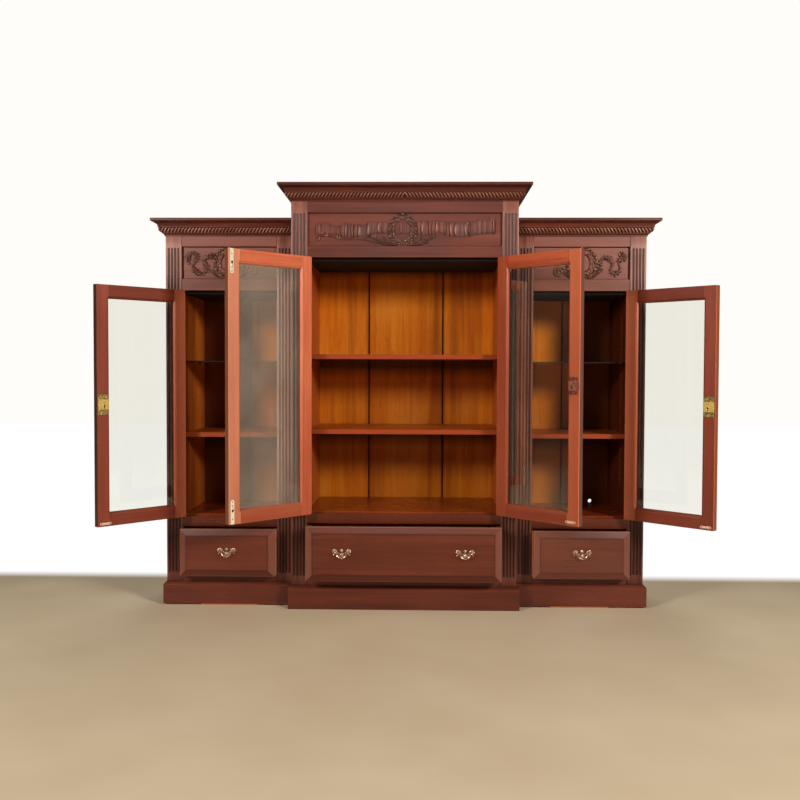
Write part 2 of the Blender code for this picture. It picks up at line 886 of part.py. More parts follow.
def wing_strike_corners(side):
    # The pocket in a divider's wall that takes the wing lock's bolt when the door is shut.
    middle = wing_levels["rail_top"] + wing_lock_height
    half = lock_bolt_height / 2 + bite
    bolt_face = wing_setback - hinge_offset + leaf_rear_face + seat + lock_plate_thickness
    low = (side * (wing_open_in - strike_depth), bolt_face - bite, middle - half)
    high = (side * (wing_open_in + overrun), bolt_face + lock_bolt_thickness + bite, middle + half)
    return low, high


# Flush bolts let into the inner face of the centre left door
def flush_bolt_span():
    free = joint_gap + centre_leaf[0]
    outer = free - flush_bolt_inset
    return outer - flush_bolt_width, outer


def flush_strike_corners(level, way):
    near, far = flush_bolt_span()
    rear = leaf_rear_face - hinge_offset
    room = shallow_bite + seat
    low = (-centre_open + near - room, rear - flush_bolt_thickness - room, level - way * overrun)
    high = (-centre_open + far + room, rear + room, level + way * (flush_bolt_travel + bite))
    return low, high


def build_flush_bolt(name, frame, axis, end, way):
    near, far = flush_bolt_span()
    floor_of_slot = leaf_rear_face - flush_bolt_thickness - seat
    shut = end - way * (flush_bolt_length + seat)
    slot_low = (near - seat, floor_of_slot - seat, end + way * overrun)
    slot_high = (far + seat, leaf_rear_face + overrun, shut - way * seat)
    cut(frame, guide(name + "_slot", blocks((slot_low, slot_high)), axis))
    low = (near, floor_of_slot, end - way * seat)
    high = (far, floor_of_slot + flush_bolt_thickness, shut)
    piece = part(name, blocks((low, high)), "bright_brass", axis)
    knob = bmesh.new()
    height = end - way * (flush_bolt_length * (1 - flush_knob_share))
    middle = (near + far) / 2
    start = (middle, floor_of_slot + flush_bolt_thickness - shallow_bite, height)
    stop = (middle, floor_of_slot + flush_bolt_thickness + flush_knob_height, height)
    add_rod(knob, start, stop, flush_knob_radius, flush_knob_sides)
    fuse(piece, guide(name + "_knob", knob, axis))


# Drawers
def build_drawer(name, start, end, front, levels, pull_out):
    first, last = sorted((start, end))
    face = front + front_edge_setback - pull_out
    low = (first + drawer_gap, face, drawer_floor + drawer_gap)
    high = (last - drawer_gap, face + front_thickness, levels["drawer_top"] - drawer_gap)
    slab = blocks((low, high))
    bmesh.ops.recalc_face_normals(slab, faces=slab.faces)
    field = [panel for panel in slab.faces if panel.normal.y < -facing]
    bmesh.ops.inset_region(slab, faces=field, thickness=bevel_width, depth=bevel_rise, use_even_offset=True)
    field = [min(slab.faces, key=lambda panel: panel.calc_center_median().y)]
    raised = bmesh.ops.extrude_face_region(slab, geom=field)["geom"]
    bmesh.ops.delete(slab, geom=field, context="FACES_ONLY")
    corners = [item for item in raised if isinstance(item, bmesh.types.BMVert)]
    bmesh.ops.translate(slab, verts=corners, vec=(0, -field_step, 0))
    part(name + "_front", slab, "mahogany")
    box_front = face + front_thickness + seat
    box_rear = back_front - box_rear_gap - pull_out
    box_top = levels["drawer_top"] - box_height_drop
    outer_low = (first + drawer_gap, box_front, drawer_floor)
    outer_high = (last - drawer_gap, box_rear, box_top)
    box = part(name + "_box", blocks((outer_low, outer_high)), "drawer_wood")
    left = first + drawer_gap + box_side
    right = last - drawer_gap - box_side
    cut_front = box_front - overrun
    cut_rear = box_rear - box_side
    bottom = drawer_floor + box_bottom_raise
    inside = blocks(((left, cut_front, bottom + box_bottom), (right, cut_rear, box_top + overrun)))
    cut(box, guide(name + "_inside", inside))
    underside = blocks(((left, cut_front, drawer_floor - overrun), (right, cut_rear, bottom)))
    cut(box, guide(name + "_underside", underside))
    return face - bevel_rise - field_step


# Pulls: a bat wing plate with two posts, and a bail that swings in them
def plate_outline():
    # Shares of half the width and half the height, from the top middle round to the right.
    right_shares = [
        (0.00, 1.00), (0.12, 0.80), (0.25, 0.58), (0.14, 0.36), (0.17, 0.24), (0.34, 0.24),
        (0.43, 0.42), (0.50, 0.70), (0.66, 0.90), (0.86, 0.84), (1.00, 0.55), (0.96, 0.24),
        (0.82, 0.10), (0.93, -0.04), (0.88, -0.24), (0.70, -0.22), (0.60, -0.02), (0.46, 0.00),
        (0.44, -0.30), (0.34, -0.58), (0.16, -0.70), (0.19, -0.84), (0.00, -1.00),
    ]
    right = [(x * pull_width / 2, z * pull_height / 2) for x, z in right_shares]
    left = [(-x, z) for x, z in reversed(right[1:-1])]
    return right + left


def build_pull(name, middle, field_face, height):
    plate = extruded(plate_outline(), plate_thickness)
    stand_up(plate)
    bmesh.ops.translate(plate, verts=plate.verts, vec=(middle, field_face - seat - plate_thickness, height))
    piece = part(name + "_plate", plate, "antique_brass")
    posts = bmesh.new()
    plate_face = field_face - seat - plate_thickness
    pivot = (plate_face - pivot_reach, height + pivot_raise)
    for side in (-1, 1):
        across = middle + side * post_spread / 2
        start = (across, plate_face + shallow_bite, pivot[1])
        stop = (across, plate_face - post_length, pivot[1])
        add_rod(posts, start, stop, post_radius, post_sides)
    fuse(piece, guide(name + "_posts", posts))
    build_bail(name, middle, pivot)


def build_bail(name, middle, pivot):
    # The rod enters each post from its inner side and hangs between them in one round bow.
    axis = link(name + "_axis", None, parts)
    axis.location = (middle, pivot[0], pivot[1])
    reach = post_spread / 2 - post_radius - seat
    straight = reach - bail_radius
    wide = straight + bail_flare
    right = [(reach, 0), (straight, 0)]
    for step in range(1, bail_steps + 1):
        turn = math.pi / 2 * step / bail_steps
        drop = -bail_flare - (bail_drop - bail_flare) * math.sin(turn)
        right.append((wide * math.cos(turn), drop))
    left = [(-x, z) for x, z in reversed(right[:-1])]
    route = right + left
    data = bpy.data.curves.new(name + "_bail", "CURVE")
    data.dimensions = "3D"
    data.bevel_depth = bail_radius
    data.bevel_resolution = 1
    data.use_fill_caps = True
    spline = data.splines.new("POLY")
    spline.points.add(len(route) - 1)
    for point, (across, up) in zip(spline.points, route):
        point.co = (across, 0, up, 1)
    rod = link(name + "_rod", data, guides)
    part(name + "_bail", curve_to_bmesh(rod), "antique_brass", axis)


# Assembly
build_end_upright("left_end_upright", -1)
build_end_upright("right_end_upright", 1)
build_divider("left_divider", -1)
build_divider("right_divider", 1)

centre_pilaster = centre_half - centre_cheek / 2
wing_inner_pilaster = wing_inner + wing_cheek / 2
wing_outer_pilaster = wing_outer - wing_cheek / 2
build_pilaster("left_outer_pilaster", -wing_outer_pilaster, wing_setback, wing_levels, -wing_open_out)
build_pilaster("left_inner_pilaster", -wing_inner_pilaster, wing_setback, wing_levels)
build_pilaster("centre_left_pilaster", -centre_pilaster, 0, centre_levels, -centre_open)
build_pilaster("centre_right_pilaster", centre_pilaster, 0, centre_levels, centre_open)
build_pilaster("right_inner_pilaster", wing_inner_pilaster, wing_setback, wing_levels)
build_pilaster("right_outer_pilaster", wing_outer_pilaster, wing_setback, wing_levels, wing_open_out)

build_centre_plinth()
build_wing_plinth("left_plinth", -1)
build_wing_plinth("right_plinth", 1)

build_floor("left_floor", -wing_open_out, -wing_open_in, wing_setback, wing_levels)
build_floor("centre_floor", -centre_open, centre_open, 0, centre_levels, takes_bolt=True)
build_floor("right_floor", wing_open_in, wing_open_out, wing_setback, wing_levels)

build_frieze("left_frieze", -wing_open_out, -wing_open_in, wing_setback, wing_levels)
build_frieze("centre_frieze", -centre_open, centre_open, 0, centre_levels, takes_bolt=True)
build_frieze("right_frieze", wing_open_in, wing_open_out, wing_setback, wing_levels)

wing_joint = wing_inner + seat
build_cornice("left_cornice", -wing_outer, -wing_joint, wing_setback, wing_levels["cornice"], 1, 0)
build_cornice("centre_cornice", -centre_half, centre_half, 0, centre_levels["cornice"], 1, 1)
build_cornice("right_cornice", wing_joint, wing_outer, wing_setback, wing_levels["cornice"], 0, 1)

build_back()

for side_name, side in (("left", -1), ("right", 1)):
    inner = side * wing_open_in
    outer = side * wing_open_out
    build_shelf(side_name + "_wood_shelf", inner, outer, wing_setback, wing_wood_shelf_top,
                wood_shelf_thickness, "amber_wood")
    build_shelf(side_name + "_glass_shelf", inner, outer, wing_setback, wing_glass_shelf_top,
                glass_shelf_thickness, "glass")
build_shelf("centre_lower_shelf", -centre_open, centre_open, 0, centre_low_shelf_top,
            wood_shelf_thickness, "amber_wood")
build_shelf("centre_upper_shelf", -centre_open, centre_open, 0, centre_high_shelf_top,
            wood_shelf_thickness, "amber_wood")

left_axis = door_axis("left_door", -1, wing_setback, wing_open_out, left_wing_angle)
centre_left_axis = door_axis("centre_left_door", -1, 0, centre_open, centre_left_angle)
centre_right_axis = door_axis("centre_right_door", 1, 0, centre_open, centre_right_angle)
right_axis = door_axis("right_door", 1, wing_setback, wing_open_out, right_wing_angle)
build_door("left_door", 1, left_axis, wing_leaf, wing_levels)
inactive_frame = build_door("centre_left_door", 1, centre_left_axis, centre_leaf, centre_levels)
build_door("centre_right_door", -1, centre_right_axis, centre_leaf, centre_levels)
build_door("right_door", -1, right_axis, wing_leaf, wing_levels)

build_lock("left", 1, left_axis, wing_leaf, wing_levels, wing_lock, "bright_brass")
build_lock("centre", -1, centre_right_axis, centre_leaf, centre_levels, centre_lock, "dark_bronze")
build_lock("right", -1, right_axis, wing_leaf, wing_levels, wing_lock, "bright_brass")

leaf_foot = centre_levels["rail_top"] + closing_gap
build_flush_bolt("upper_flush_bolt", inactive_frame, centre_left_axis, leaf_foot + centre_leaf[1], 1)
build_flush_bolt("lower_flush_bolt", inactive_frame, centre_left_axis, leaf_foot, -1)

drawers = (
    ("left_drawer", -wing_open_out, -wing_open_in, wing_setback, wing_levels, wing_drawer_pull_out, (0,)),
    ("centre_drawer", -centre_open, centre_open, 0, centre_levels, centre_drawer_pull_out,
     (-centre_pull_offset, centre_pull_offset)),
    ("right_drawer", wing_open_in, wing_open_out, wing_setback, wing_levels, wing_drawer_pull_out, (0,)),
)
for name, start, end, front, levels, pull_out, pull_places in drawers:
    field_face = build_drawer(name, start, end, front, levels, pull_out)
    height = (drawer_floor + levels["drawer_top"]) / 2 + pull_lift
    for place in pull_places:
        pull_name = name.replace("drawer", "pull")
        if place:
            pull_name = "centre_left_pull" if place < 0 else "centre_right_pull"
        build_pull(pull_name, (start + end) / 2 + place, field_face, height)
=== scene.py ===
from functools import reduce
from math import atan2, ceil, cos, pi, radians, sin, sqrt
from operator import and_, or_

import bmesh
import bpy
from mathutils import Matrix, Vector


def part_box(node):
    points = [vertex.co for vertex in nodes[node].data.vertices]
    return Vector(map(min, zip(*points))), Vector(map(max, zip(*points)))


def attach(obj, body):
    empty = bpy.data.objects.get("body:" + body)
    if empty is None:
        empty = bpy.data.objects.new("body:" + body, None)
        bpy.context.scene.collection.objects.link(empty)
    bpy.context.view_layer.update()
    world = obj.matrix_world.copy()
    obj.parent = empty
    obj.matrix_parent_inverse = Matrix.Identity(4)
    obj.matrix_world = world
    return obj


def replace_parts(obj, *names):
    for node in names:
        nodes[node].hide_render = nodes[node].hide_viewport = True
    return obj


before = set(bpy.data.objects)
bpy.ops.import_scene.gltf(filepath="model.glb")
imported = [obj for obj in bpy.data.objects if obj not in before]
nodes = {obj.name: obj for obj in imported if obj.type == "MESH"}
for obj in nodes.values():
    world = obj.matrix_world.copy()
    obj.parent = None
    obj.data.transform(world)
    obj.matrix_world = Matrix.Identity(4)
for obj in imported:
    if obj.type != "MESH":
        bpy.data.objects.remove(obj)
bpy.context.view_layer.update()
SIDES = ("left", "centre", "right")


# Colours and units
def linear(value):
    value /= 255
    return value / 12.92 if value <= 0.04045 else ((value + 0.055) / 1.055) ** 2.4


def tone(red, green, blue):
    return (linear(red), linear(green), linear(blue), 1.0)


def scaled(colour, share, lift=0):
    return [min(255, value * share + lift) for value in colour]


def metres(points):
    return [tuple(value / 1000 for value in point) for point in points]


# A short way to write shader graphs
def arithmetic(operation, swapped=False):
    def apply(self, other=0.0):
        return self.graph.math(operation, *((other, self) if swapped else (self, other)))

    return apply


class Field:
    # A value over a surface. Arithmetic on it makes shader nodes, comparisons give 0 or 1,
    # and | and & take the larger and the smaller of two.
    def __init__(self, graph, socket):
        self.graph = graph
        self.socket = socket

    __add__ = __radd__ = arithmetic("ADD")
    __mul__ = __rmul__ = arithmetic("MULTIPLY")
    __sub__ = arithmetic("SUBTRACT")
    __rsub__ = arithmetic("SUBTRACT", swapped=True)
    __mod__ = arithmetic("FLOORED_MODULO")
    __pow__ = arithmetic("POWER")
    __abs__ = arithmetic("ABSOLUTE")
    __gt__ = arithmetic("GREATER_THAN")
    __lt__ = arithmetic("LESS_THAN")
    __or__ = arithmetic("MAXIMUM")
    __and__ = arithmetic("MINIMUM")

    def mix(self, share, other):
        return self.graph.mix(share, self, other)

    def span(self, low, high, out_low=0.0, out_high=1.0):
        inputs = {"Value": self, "From Min": low, "From Max": high, "To Min": out_low, "To Max": out_high}
        return self.graph.add("MapRange", inputs, clamp=True)


class Graph:
    def __init__(self, name):
        self.material = bpy.data.materials.new(name)
        self.material.use_nodes = True
        self.tree = self.material.node_tree
        self.shader = self.tree.nodes["Principled BSDF"]
        self.place = self.add("TexCoord", which="Object")

    def put(self, socket, value):
        if isinstance(value, Field):
            self.tree.links.new(value.socket, socket)
        else:
            socket.default_value = value

    def add(self, kind, inputs=None, which=0, **settings):
        node = self.tree.nodes.new("ShaderNode" + kind)
        for key, value in settings.items():
            setattr(node, key, value)
        for key, value in (inputs or {}).items():
            self.put(node.inputs[key], value)
        return Field(self, node.outputs[which])

    def math(self, operation, first, second=0.0):
        return self.add("Math", {0: first, 1: second}, operation=operation)

    def mix(self, share, first, second):
        # A tuple of three numbers stands for a tone.
        inputs = {0: share, 6: first, 7: second}
        for key, value in inputs.items():
            if isinstance(value, (tuple, list)):
                inputs[key] = tone(*value)
        return self.add("Mix", inputs, 2, data_type="RGBA")

    def mapped(self, source, scale=(1, 1, 1), turn=(0, 0, 0), shift=(0, 0, 0)):
        return self.add("Mapping", {"Vector": source, "Location": shift, "Rotation": turn, "Scale": scale})

    def noise(self, source, scale, detail, rough, bend=0.0):
        inputs = {"Vector": source, "Scale": scale, "Detail": detail, "Roughness": rough, "Distortion": bend}
        return self.add("TexNoise", inputs)

    def drawn(self, scale, detail, rough, bend=0.0, source=None):
        # Noise of a scale of its own along each axis.
        return self.noise(self.mapped(source or self.place, scale), 1.0, detail, rough, bend)

    def ramp(self, value, *stops):
        field = self.add("ValToRGB", {0: value})
        band = field.socket.node.color_ramp
        while len(band.elements) < len(stops):
            band.elements.new(0.5)
        for element, (where, colour) in zip(band.elements, stops):
            element.position = where
            element.color = tone(*colour)
        return field

    def parts(self, source=None):
        node = self.add("SeparateXYZ", {0: source or self.place}).socket.node
        return [Field(self, socket) for socket in node.outputs]

    def face(self):
        return self.add("NewGeometry", which="Normal")

    def hollow(self, reach):
        return self.add("AmbientOcclusion", {"Distance": reach}, "AO", samples=4)

    def soften(self, radius, height, strength, depth):
        # Rounded edges, and the same with a fine relief on them.
        rounded = self.add("Bevel", {"Radius": radius}, samples=3)
        inputs = {"Strength": strength, "Distance": depth, "Height": height, "Normal": rounded}
        return rounded, self.add("Bump", inputs)

    def figure(self, source, grain, seed, tones, pore_share, pore_tone):
        # Broad figure, finer streaks, pores and slow clouding, which run along the grain.
        source = self.mapped(source, shift=(seed * 0.73, seed * 0.31, seed * 0.57))
        layers = ((26, 1.5, 4, 0.55, 0.35), (150, 3.2, 3, 0.6, 0.1), (900, 28, 1, 0.5))
        broad, streak, pores = (
            self.drawn([along if axis == grain else across for axis in "XYZ"], *settings, source=source)
            for across, along, *settings in layers
        )
        cloud = self.noise(source, 3.4, 2, 0.5)
        colour = self.ramp(broad * 0.55 + streak * 0.28 + cloud * 0.35, *zip((0.40, 0.58, 0.78), tones))
        colour = colour.mix(pores.span(0.60, 0.72) * pore_share, scaled(tones[0], pore_tone))
        return colour, streak * 0.4 + pores * 0.5, streak, cloud

    def rub_and_highlight_edges(self, colour, rounded, source, share, patches, pale, chips, bare):
        # Edges painted pale in patches where they turn from their face, partly as rubbed wear and partly as a
        # painted highlight, with small chips along them.
        same = self.add("VectorMath", {0: rounded, 1: self.face()}, "Value", operation="DOT_PRODUCT")
        colour = colour.mix(same.span(0.99, share) * patches, pale)
        chip = self.noise(source, 75, 2, 0.5).span(0.64, 0.68) * same.span(0.985, 0.93, 0.0, chips)
        return colour.mix(chip, bare)

    def end(self, shader):
        self.put(self.tree.nodes["Material Output"].inputs["Surface"], shader)
        return self.material

    def finish(self, **values):
        for key, value in values.items():
            self.put(self.shader.inputs[key.replace("_", " ")], value)
        return self.material


def wood(name, dark, middle, light, grain, seed, gloss, hollow_shade=0.0, edge=0.0, extra=None, shine=0.4):
    graph = Graph(name)
    tones = (dark, middle, light)
    colour, height, streak, cloud = graph.figure(graph.place, grain, seed, tones, 0.35, 0.55)
    rough = cloud * 0.16 + (gloss - 0.04) + streak * 0.05
    rounded, normal = graph.soften(0.0011, height, 0.16, 0.0006)
    # Pale edges: wear and a painted highlight.
    if edge:
        patches = cloud.span(0.42, 0.62) * edge
        pale = scaled(light, 1.35, 18)
        chips = min(1.0, edge * 1.6)
        colour = graph.rub_and_highlight_edges(colour, rounded, graph.place, 0.80, patches, pale, chips, (214, 170, 134))
    # Hollows are darkened by ambient occlusion: a painted shade.
    if hollow_shade:
        colour = colour.mix(graph.hollow(0.008).span(0.95, 0.35, 0.0, hollow_shade), scaled(dark, 0.32))
    if extra:
        colour, rough = extra(graph, colour, rough)
    return graph.finish(Base_Color=colour, Roughness=rough, Normal=normal, Specular_IOR_Level=shine)


def metal(name, base, dark, gloss, stain, seed, mark=None, share=0.6):
    graph = Graph(name)
    source = graph.mapped(graph.place, shift=(seed, seed * 2, seed * 3))
    tarnish = graph.noise(source, 95, 4, 0.6).span(0.42, 0.68) * stain
    tarnish = tarnish | graph.hollow(0.004).span(0.9, 0.4, 0.0, 0.85)
    colour = graph.mix(tarnish, base, dark)
    rough = tarnish * 0.3 + gloss
    normal = graph.soften(0.0004, graph.noise(source, 900, 2, 0.5), 0.25, 0.0002)[1]
    if mark:
        colour, rough, share = mark(graph, colour, rough)
    return graph.finish(Base_Color=colour, Roughness=rough, Metallic=share, Normal=normal)


# Mesh helpers
def around(sides):
    return [2 * pi * side / sides for side in range(sides)]


def sheet(bm, rows, close=False):
    grid = [[bm.verts.new(point) for point in row] for row in rows]
    for lower, upper in zip(grid, grid[1:]):
        count = len(lower)
        for index in range(count if close else count - 1):
            other = (index + 1) % count
            bm.faces.new((lower[index], lower[other], upper[other], upper[index]))
    return grid


def fill(bm, points):
    bm.faces.new([bm.verts.new(point) for point in points])


def weld(bm, reach):
    bmesh.ops.remove_doubles(bm, verts=bm.verts, dist=reach)


def show(name, data):
    thing = bpy.data.objects.new(name, data)
    bpy.context.scene.collection.objects.link(thing)
    return thing


def piece(name, bm, material, angle, body="root"):
    mesh = bpy.data.meshes.new(name)
    bmesh.ops.recalc_face_normals(bm, faces=bm.faces)
    bm.to_mesh(mesh)
    bm.free()
    mesh.shade_smooth()
    mesh.set_sharp_from_angle(angle=radians(angle))
    mesh.materials.append(material)
    thing = show(name, mesh)
    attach(thing, body)
    return thing


def add_bead(bm, centre, radius, depth, sides=10, rings=5, stretch=1.0):
    # A domed bead that stands on its ground towards the front.
    x, y, z = centre
    rows = []
    for ring in range(rings):
        turn = pi / 2 * ring / rings
        size = radius * cos(turn)
        out = y - depth * sin(turn)
        rows.append([(x + size * cos(way), out, z + size * sin(way) * stretch) for way in around(sides)])
    last = sheet(bm, rows, close=True)[-1]
    tip = bm.verts.new((x, y - depth, z))
    for index in range(sides):
        bm.faces.new((last[index], last[(index + 1) % sides], tip))


def add_leaf(bm, x, z, ground, heading, length, width, height, bend=0.0, steps=6):
    # A pointed leaf that lies on its ground: two rounded flanks beside a sunk midrib.
    across = ((-1.0, 0.0), (-0.9, 0.45), (-0.5, 1.0), (0.0, 0.62), (0.5, 1.0), (0.9, 0.45), (1.0, 0.0))
    rows = []
    place = Vector((x, z))
    for step in range(steps + 1):
        share = step / steps
        way = heading + bend * share
        if step:
            place = place + Vector((cos(way), sin(way))) * length / steps
        half = width / 2 * max(0.05, sin(pi * (0.06 + 0.94 * share) ** 0.8))
        rise = height * (0.35 + 0.65 * sin(pi * (0.1 + 0.85 * share)))
        side = Vector((-sin(way), cos(way)))
        spots = [(place + side * half * offset, ground - rise * lift) for offset, lift in across]
        rows.append([(spot.x, out, spot.y) for spot, out in spots])
    sheet(bm, rows)


def smooth_path(points, steps):
    # A smooth curve through the points, as a list of places about evenly apart.
    points = [Vector(point) for point in points]
    route = []
    for before, start, end, after in zip(points[:1] + points, points, points[1:], points[2:] + points[-1:]):
        for step in range(steps):
            t = step / steps
            bend = (2 * before - 5 * start + 4 * end - after) * t * t
            twist = (3 * start - before - 3 * end + after) * t * t * t
            route.append(0.5 * (2 * start + (end - before) * t + bend + twist))
    return route + points[-1:]


def add_ribbon(bm, points, ground, width, height, ridges=0.0, taper=0.25, sides=8, steps=8):
    # A rounded ribbon on its ground, with slanting ridges along it.
    pitch = 0.008
    route = smooth_path(points, steps)
    run = [0.0]
    for first, last in zip(route, route[1:]):
        run.append(run[-1] + (last - first).length)
    rows = []
    for spot, length, before, after in zip(route, run, route[:1] + route, route[1:] + route[-1:]):
        ahead = (after - before).normalized()
        side = Vector((-ahead.y, ahead.x))
        near_end = min(length, run[-1] - length) / (run[-1] * 0.12)
        size = taper + (1 - taper) * min(1.0, near_end)
        row = []
        for step in range(sides + 1):
            turn = pi * step / sides
            wave = 1 + ridges * cos(2 * pi * length / pitch + 2.2 * cos(turn))
            out = height * size * sin(turn) ** 0.7 * wave
            place = spot + side * (width / 2 * size * cos(turn) * (1 + 0.5 * ridges * (wave - 1)))
            row.append((place.x, ground - out, place.y))
        rows.append(row)
    sheet(bm, rows)


# Carved wood
def add_wreath(bm, x, z, ground, radius, band, stretch):
    # Laurel leaves in pairs climb both sides from the foot to the crown, with berries between them.
    stations = 13
    height = 0.0090
    for side in (-1, 1):
        for index in range(stations):
            share = index / (stations - 0.5)
            turn = -pi / 2 + side * (0.10 + share * (pi - 0.14))
            spot = Vector((cos(turn), sin(turn) * stretch))
            ahead = turn + side * pi / 2
            size = band * (1.12 - 0.25 * share + 0.08 * sin(index * 2.1))
            rise = height * (1.0 - 0.15 * (index % 2))
            for offset, lean in ((0.30, -0.55), (-0.30, 0.60)):
                reach = radius + offset * band
                place = (x + spot.x * reach, z + spot.y * reach)
                lean *= side
                add_leaf(bm, *place, ground, ahead + lean, size * 1.05, size * 0.56, rise, -lean * 0.7)
            far = radius + band * 0.16 * (1 if index % 2 else -1)
            add_bead(bm, (x + spot.x * far, ground, z + spot.y * far), band * 0.17, height * 1.05, 8, 4)


def add_circle_bead(bm, x, z, ground, radius, width, height, count=64, sides=6):
    rows = []
    for turn in around(count):
        row = []
        for step in range(sides + 1):
            way = pi * step / sides
            size = radius + width / 2 * cos(way)
            row.append((x + size * cos(turn), ground - height * sin(way), z + size * sin(turn)))
        rows.append(row)
    sheet(bm, rows + rows[:1])
    weld(bm, 0.000001)


def add_spray(bm, start, end, ground, leaves, side, sag):
    # A stem with leaves to both sides and berries among them.
    height = 0.0078
    size = 0.0135
    middle = (Vector(start) + Vector(end)) / 2 + Vector((0, -sag))
    points = [start, middle, end]
    add_ribbon(bm, points, ground, 0.004, height * 0.6, steps=6)
    route = smooth_path(points, leaves + 1)
    for index, (before, spot) in enumerate(zip(route, route[1:]), 1):
        heading = atan2(*(spot - before).yx)
        share = index / len(route)
        for lean in (-0.95, 0.95):
            way = heading + lean * (1 - 0.4 * share)
            add_leaf(bm, *spot, ground, way, size * (1.1 - 0.35 * share), size * 0.46, height, -lean * 0.5)
        if index % 3 == 1:
            away = heading + pi / 2 * side
            spot = spot + Vector((cos(away), sin(away))) * size * 0.5
            add_bead(bm, (spot.x, ground, spot.y), size * 0.14, height * 1.1, 8, 4)


def add_vine(bm, points, ground):
    # A carved stem with small curling leaves to both sides, in fuller and thinner stretches.
    height = 0.0078
    leaf = 0.0108
    add_ribbon(bm, points, ground, 0.0050, height * 0.8, 0.15, 0.3)
    route = smooth_path(points, 4)
    for index, (before, spot, after) in enumerate(zip(route, route[1:], route[2:]), 1):
        side = 1 if index % 2 else -1
        heading = atan2(*(after - before).yx) + side * 1.0
        size = leaf * (0.95 + 0.3 * sin(index * 0.42) + 0.12 * sin(index * 1.7))
        add_leaf(bm, *spot, ground, heading, size, size * 0.52, height * 1.1, side * 1.1)
    add_bead(bm, (route[-1].x, ground, route[-1].y), leaf * 0.38, height * 1.1, 10, 4)
    add_leaf(bm, *route[0], ground, pi / 2, leaf, leaf * 0.5, height)


def add_banner(bm, folds, ground, height, rows_up=7, steps=6):
    # A pleated cloth band. Each fold swells from its left edge and ends in a crease.
    folds = [(x / 1000, top / 1000, foot / 1000, swell) for x, top, foot, swell in folds]
    columns = []
    for (x_1, top_1, foot_1, swell), (x_2, top_2, foot_2, _) in zip(folds, folds[1:]):
        for step in range(steps):
            share = step / steps
            shape = sin(pi * (share ** 0.62 if swell > 0 else share ** 1.5))
            dip = 0.0028 * abs(swell) * shape
            top = top_1 + (top_2 - top_1) * share + dip
            foot = foot_1 + (foot_2 - foot_1) * share - dip
            columns.append((x_1 + (x_2 - x_1) * share, top, foot, 0.28 + 0.72 * abs(swell) * shape))
    columns.append((*folds[-1][:3], 0.3))
    grid = []
    for place, (x, top, foot, out) in enumerate(columns):
        row = [(x, ground, foot)]
        for step in range(rows_up):
            share = step / (rows_up - 1)
            round_off = 1 - 0.35 * (2 * share - 1) ** 4
            sway = 0.0012 * sin(share * 5 + place * 0.35)
            row.append((x + sway, ground - height * out * round_off, foot + (top - foot) * share))
        grid.append(row + [(x, ground, top)])
    sheet(bm, grid)
    for row in (grid[0], grid[-1]):
        fill(bm, row)


def add_curl(bm, x, z, ground, radius, turns, start, width, height, way):
    points = []
    count = int(turns * 8)
    for index in range(count + 1):
        share = index / count
        turn = start + way * share * turns * 2 * pi
        size = radius * (1 - 0.78 * share)
        points.append((x + size * cos(turn), z + size * sin(turn)))
    add_ribbon(bm, points, ground, width, height, steps=3, sides=6)


# Places on the frieze panels, in millimetres. A banner's fold has its left edge, top, foot and swell.
LEFT_BANNER = [
    (-349, 1506, 1473, 0.5), (-338, 1517, 1470, 0.9), (-328, 1509, 1472, -0.8), (-312, 1519, 1476, 0.35),
    (-286, 1510, 1472, 0.3), (-265, 1504, 1475, -0.7), (-252, 1506, 1468, 0.6), (-234, 1519, 1459, 0.9),
    (-223, 1512, 1456, 0.6), (-213, 1514, 1459, -0.9), (-200, 1507, 1456, 0.8), (-185, 1512, 1462, 0.9),
    (-166, 1507, 1459, 0.35), (-148, 1516, 1458, 0.9), (-132, 1519, 1474, -0.5), (-109, 1517, 1477, 0.9),
    (-91, 1519, 1480, 0.7), (-70, 1516, 1478, 0.5),
]
RIGHT_BANNER = [
    (48, 1519, 1475, 0.7), (63, 1522, 1473, 0.9), (79, 1525, 1472, -0.6), (92, 1520, 1473, 0.8),
    (105, 1523, 1475, 0.7), (118, 1525, 1477, 0.9), (134, 1524, 1480, 0.6), (152, 1521, 1477, -0.7),
    (162, 1517, 1470, 0.5), (173, 1517, 1468, 0.9), (191, 1516, 1467, 0.9), (212, 1514, 1466, 0.5),
    (230, 1515, 1465, 0.9), (248, 1517, 1466, -0.8), (256, 1519, 1467, 0.4), (280, 1523, 1474, 0.7),
    (298, 1527, 1473, 0.4), (319, 1530, 1475, 0.35), (342, 1534, 1476, 0.9), (353, 1535, 1477, 0.5),
]
MIDDLE_BANNER = [
    (-70, 1516, 1478, 0.4), (-38, 1517, 1476, 0.5), (-22, 1514, 1474, 0.9), (-11, 1516, 1478, -0.5),
    (6, 1512, 1474, 0.9), (16, 1508, 1480, 0.4), (48, 1519, 1475, 0.4),
]
LEFT_SCROLL = [
    (-753, 1397), (-770, 1395), (-790, 1389), (-801, 1378), (-797, 1366), (-789, 1349), (-794, 1333),
    (-808, 1323), (-825, 1329), (-838, 1340), (-845, 1356), (-838, 1371), (-828, 1385), (-830, 1401),
    (-842, 1409), (-857, 1404), (-865, 1391), (-863, 1376), (-862, 1364),
]
RIGHT_SCROLL = [
    (758, 1335), (771, 1345), (771, 1371), (780, 1386), (795, 1390), (812, 1381), (821, 1363), (812, 1342),
    (820, 1327), (839, 1329), (851, 1348), (844, 1370), (850, 1383), (866, 1383), (872, 1394), (862, 1405),
    (847, 1403),
]
TRAIL = [
    (-345, 1462), (-318, 1467), (-286, 1466), (-252, 1458), (-222, 1453), (-188, 1457), (-150, 1452),
    (-118, 1444), (-92, 1436),
]


def frieze_ground(name):
    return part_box(name + "_frieze")[0].y + 0.0103


